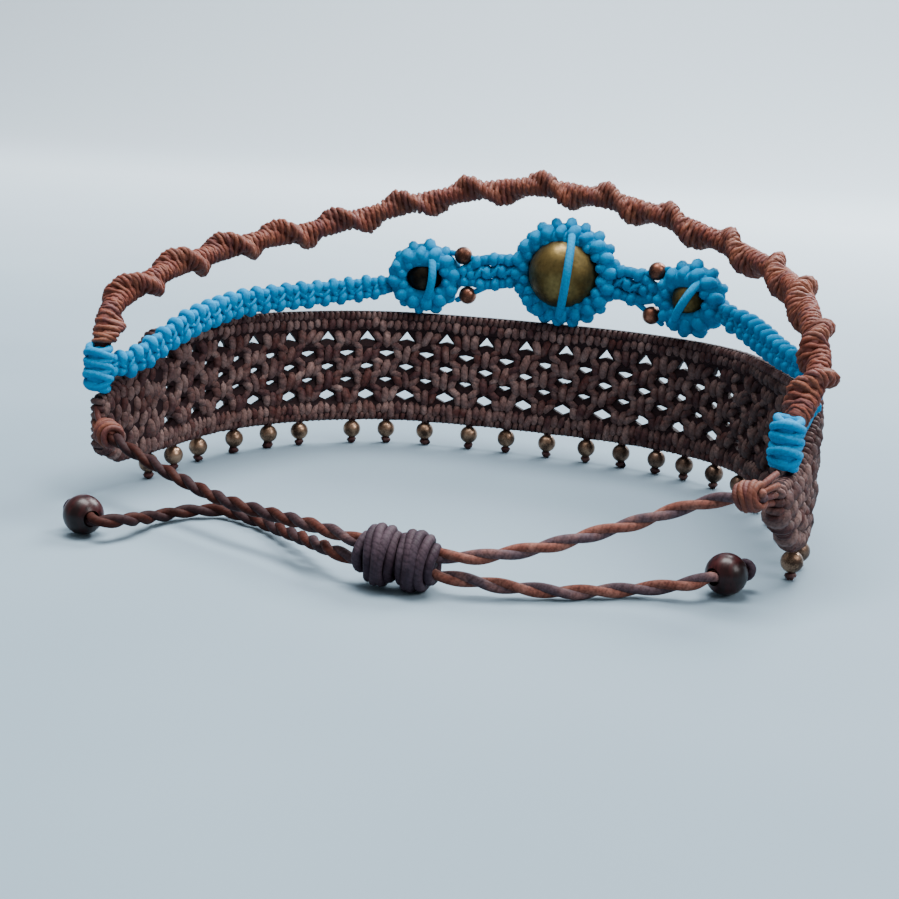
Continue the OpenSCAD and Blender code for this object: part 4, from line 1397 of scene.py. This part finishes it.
@dataclass
class Beads:
    """Beads that are modelled once for each kind and copied."""

    finishes: Finishes
    # Edge beads between these distances get the darker bronze, as painted shade.
    shaded_from: float = 68.0
    shaded_to: float = 112.0
    tail_turns: Rows = ((0.62, 0.66, 0.32), (0.95, 0.4, 0.34), (1.25, 0.16, 0.3))
    meshes: dict = field(default_factory=dict)

    def put(self, kind: BeadKind, name: str, at: np.ndarray, axis: np.ndarray) -> bpy.types.Object:
        """Places a bead.

        Args:
            kind: Its kind.
            name: The node that it replaces.
            at: Its middle, in the maker's frame.
            axis: The way of its bore.

        Returns:
            The new piece.
        """
        if kind not in self.meshes:
            self.meshes[kind] = kind.mesh()
        own = self.meshes[kind].copy()
        turn = Vector((0, 0, 1)).rotation_difference(Vector(tuple(unit(np.asarray(axis, float)))))
        own.transform(Matrix.Translation(Vector(tuple(to_part(at)))) @ turn.to_matrix().to_4x4())
        return self.finishes.keep(new_object(name + "_ball", own), kind.finish, kind.slot, name)

    def build(self) -> None:
        """Places the edge beads, the copper beads and the set beads."""
        plan = Route(ARCH)
        for i, run in enumerate(EDGE_BEADS):
            kind = SHADED_EDGE_BEAD if self.shaded_from <= run <= self.shaded_to else EDGE_BEAD
            at = plan.at(np.array([run]))[0]
            at[2] = EDGE_BEAD_Z
            self.put(kind, f"edge_bead_{i + 1}", at, UP)
        for i, row in enumerate(COPPER_BEADS):
            at, root = bead_and_root(row)
            self.put(COPPER_BEAD, f"copper_bead_{i + 1}", at, root - at)
        for name, bezel, kind in (
            ("centre_bead", CENTRE_BEZEL, CENTRE_BEAD),
            ("side_bead_left", LEFT_BEZEL, DARK_SIDE_BEAD),
            ("side_bead_right", RIGHT_BEZEL, SIDE_BEAD),
        ):
            self.put(kind, name, bezel.placed[:3, 3], bezel.placed[:3, 0])

    def wooden(self, name: str, rows: Rows) -> bpy.types.Object:
        """Returns the wooden bead at the end of a cord's table."""
        at, end = np.array(rows[-2], float), np.array(rows[-1], float)
        return self.put(WOODEN_BEAD, name, at, end - at)

    def tail(self, name: str, rows: Rows) -> bpy.types.Object:
        """Returns the knot past the end of a cord's table."""
        at, end = np.array(rows[-2], float), np.array(rows[-1], float)
        way = unit(end - at)
        first = unit(np.cross(way, UP))
        second = np.cross(way, first)
        strands = Strands()
        for far, size, thread in self.tail_turns:
            centre, tall, deep = end + far * way, unit(first + 0.15 * way), unit(second - 0.1 * way)
            lines = hoops(centre[None], tall[None], deep[None], size, size, 16, square=1.0)
            strands.add(lines, thread, [(0.15, 0.3, 0)], sides=8, flat=way[None])
        return self.finishes.keep(strands.piece(name + "_turns"), "knot_thread", "dark_cord", name)


@dataclass
class Camera:
    """The camera at the photograph's place, in millimetres and degrees."""

    at: Sequence[float] = (50.44, -139.0, 40.0)
    heading: float = 21.25
    pitch: float = 13.43
    roll: float = math.degrees(0.048577)
    focal_px: float = 1500.5
    frame_px: float = 899.0
    sensor: float = 36.0
    clip: Sequence[float] = (0.01, 10.0)

    def build(self) -> None:
        """Adds the camera and makes it the scene's own."""
        data = bpy.data.cameras.new("camera")
        data.sensor_width = self.sensor
        data.lens = self.focal_px / self.frame_px * self.sensor
        data.clip_start, data.clip_end = self.clip
        h, p, r = (math.radians(a) for a in (self.heading, self.pitch, self.roll))
        ahead = Vector((-math.sin(h) * math.cos(p), math.cos(h) * math.cos(p), -math.sin(p)))
        side = Vector((math.cos(h), math.sin(h), 0))
        over = Vector((-math.sin(h) * math.sin(p), math.cos(h) * math.sin(p), math.cos(p)))
        right = math.cos(r) * side + math.sin(r) * over
        up = -math.sin(r) * side + math.cos(r) * over
        turn = Matrix((right, up, -ahead)).transposed().to_4x4()
        camera = new_object("camera", data)
        camera.matrix_world = Matrix.Translation(Vector(self.at) * MM) @ turn
        bpy.context.scene.camera = camera


@dataclass(frozen=True)
class SoftLight:
    """A square light, in metres and watts."""

    name: str
    at: Sequence[float]
    size: float
    power: float
    aim: Sequence[float] = (0, 0, 0.01)

    def build(self) -> None:
        """Adds the light."""
        data = bpy.data.lights.new(self.name, "AREA")
        data.energy, data.size = self.power, self.size
        light = new_object(self.name, data)
        light.location = self.at
        light.rotation_mode = "QUATERNION"
        light.rotation_quaternion = (Vector(self.aim) - Vector(self.at)).to_track_quat("-Z", "Y")


@dataclass
class Studio:
    """A pale floor that bends up into a wall, and soft light from behind, in metres."""

    half_width: float = 3.0
    flat: Sequence[float] = (-1.2, -0.3, 0.0, 0.3)
    bend: float = 0.6
    bend_radius: float = 0.7
    wall_top: float = 3.0
    steps: int = 24
    near_tints: Sequence[str] = ("#6f818e", "#788a96")
    far_tint: str = "#a8b6c0"
    # Span in y over which the painted light goes from the near tints to the far one.
    painted_falloff: Sequence[float] = (0.03, 0.4)
    world_tint: str = "#dfe6ec"
    world_strength: float = 0.5
    lights: Sequence[SoftLight] = (
        SoftLight("window", (0.16, 0.5, 0.5), 0.35, 9.0),
        SoftLight("ceiling", (-0.1, -0.1, 0.8), 0.6, 2.5),
        SoftLight("backdrop", (0.0, 0.2, 1.3), 0.9, 62.0, aim=(0, 1.2, 0.3)),
        SoftLight("right", (0.5, -0.12, 0.4), 0.25, 2.4),
    )

    def sweep(self) -> bpy.types.Object:
        """Returns the floor, which bends up into the wall behind."""
        turn = np.linspace(0, math.pi / 2, self.steps)
        wall = self.bend + self.bend_radius
        y = np.concatenate([self.flat, self.bend + self.bend_radius * np.sin(turn), [wall]])
        z = np.concatenate([np.zeros(len(self.flat)), self.bend_radius * (1 - np.cos(turn)), [self.wall_top]])
        verts = [(x, a, b) for a, b in zip(y, z) for x in (-self.half_width, self.half_width)]
        faces = [(2 * i, 2 * i + 1, 2 * i + 3, 2 * i + 2) for i in range(len(y) - 1)]
        mesh = bpy.data.meshes.new("paper_sweep")
        mesh.from_pydata(verts, [], faces)
        mesh.polygons.foreach_set("use_smooth", [True] * len(faces))
        return new_object("paper_sweep", mesh)

    def build(self) -> None:
        """Adds the floor, the pale surroundings and the lights."""
        floor = self.sweep()
        s, shader = new_material("pale_paper")
        place = s.place()
        tint = s.blend(s.spread(s.noise(place, 14, 3), 0.3, 0.7), *[colour(t) for t in self.near_tints])
        # Painted light: the floor is darker near the bracelet and lighter toward the back and up the wall.
        far = s.spread(s.add("SeparateXYZ", {0: place}).outputs[1], *self.painted_falloff)
        tint = s.blend(far, tint, colour(self.far_tint))
        s.fill(shader, {"Base Color": tint, "Roughness": 0.85, "Specular IOR Level": 0.2})
        floor.data.materials.append(bpy.data.materials["pale_paper"])
        world = bpy.data.worlds.new("surroundings")
        world.use_nodes = True
        back = world.node_tree.nodes["Background"].inputs
        back[0].default_value, back[1].default_value = colour(self.world_tint), self.world_strength
        bpy.context.scene.world = world
        for light in self.lights:
            light.build()


KNOT_AXIS = Axis(4.5, -19.9, 2.7, turn=8, lean=94, length=6.6)
KNOT_TURNS = (3.6, 4.85, 5.3, 5.2, 4.4, 4.4, 5.2, 5.3, 4.85, 3.6)
BLUE_AXES = {
    "blue_wrap_left": Axis(-32.6, -8.1, 12.55, turn=80, lean=4, length=4.2),
    "blue_wrap_right": Axis(32.5, -4.9, 13.02, turn=80, lean=4, length=4.2),
}
BLUE_TURNS = (2.6, 2.9, 3.1, 2.9, 3.1, 2.95, 3.1, 2.7)
JUNCTION_TURNS = (2.4, 2.7, 2.65, 2.7, 2.4)


def build_cords(finishes: Finishes, beads: Beads) -> None:
    """Builds the closing cords and what is on them."""
    left = ClosingCord("closure_cord_left", CORD_LEFT)
    right = ClosingCord("closure_cord_right", CORD_RIGHT, start_turn=0.8)
    left_piece, right_piece = left.build(finishes), right.build(finishes)
    knot = Wrap("sliding_knot", *KNOT_AXIS.ends(), KNOT_TURNS, 0.43, "knot_thread", "dark_cord", core=1.45,
                lean=13, shade=0.1).build(finishes)
    left.declare(left_piece, [
        knot, beads.wooden("wooden_bead_right", CORD_LEFT), beads.tail("tail_knot_right", CORD_LEFT)])
    right.declare(right_piece, [
        beads.wooden("wooden_bead_left", CORD_RIGHT), beads.tail("tail_knot_left", CORD_RIGHT)])


def build_blue(finishes: Finishes) -> None:
    """Builds the ribbons, the links and the bezels."""
    Ribbon("blue_strand_left", RIBBON_LEFT).build(finishes)
    # The right ribbon and the right link are darkened with painted shade.
    Ribbon("blue_strand_right", RIBBON_RIGHT, shade=0.6, tails=RIBBON_TAILS).build(finishes)
    Link("blue_link_left", LINK_LEFT, beads=COPPER_BEADS[:2]).build(finishes)
    Link("blue_link_right", LINK_RIGHT, shade=0.45, beads=COPPER_BEADS[2:]).build(finishes)
    for bezel in (CENTRE_BEZEL, LEFT_BEZEL, RIGHT_BEZEL):
        bezel.build(finishes)


def build_wraps(finishes: Finishes) -> None:
    """Builds the blue wraps and the junction wraps."""
    for name, axis in BLUE_AXES.items():
        Wrap(name, *axis.ends(), BLUE_TURNS, 0.38, "blue_thread", "blue_cord", core=1.1,
             crossing=0.32).build(finishes)
    for name, rows, fan in (
        ("junction_wrap_left", CORD_LEFT, FAN_LEFT), ("junction_wrap_right", CORD_RIGHT, FAN_RIGHT),
    ):
        Wrap(name, rows[0], rows[2], JUNCTION_TURNS, 0.29, "spiral_thread", "orange_purple_cord", core=0.85,
             fan=fan, shade=0.35).build(finishes)


def main() -> None:
    """Builds the bracelet's pieces and its stage."""
    logging.basicConfig(level=logging.INFO, format="%(message)s")
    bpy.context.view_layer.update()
    Camera().build()
    finishes = Finishes()
    beads = Beads(finishes)
    build_cords(finishes, beads)
    NetBand().build(finishes)
    SpiralStrand().build(finishes)
    build_blue(finishes)
    build_wraps(finishes)
    beads.build()
    Studio().build()
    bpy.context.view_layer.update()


if __name__ == "__main__":
    main()
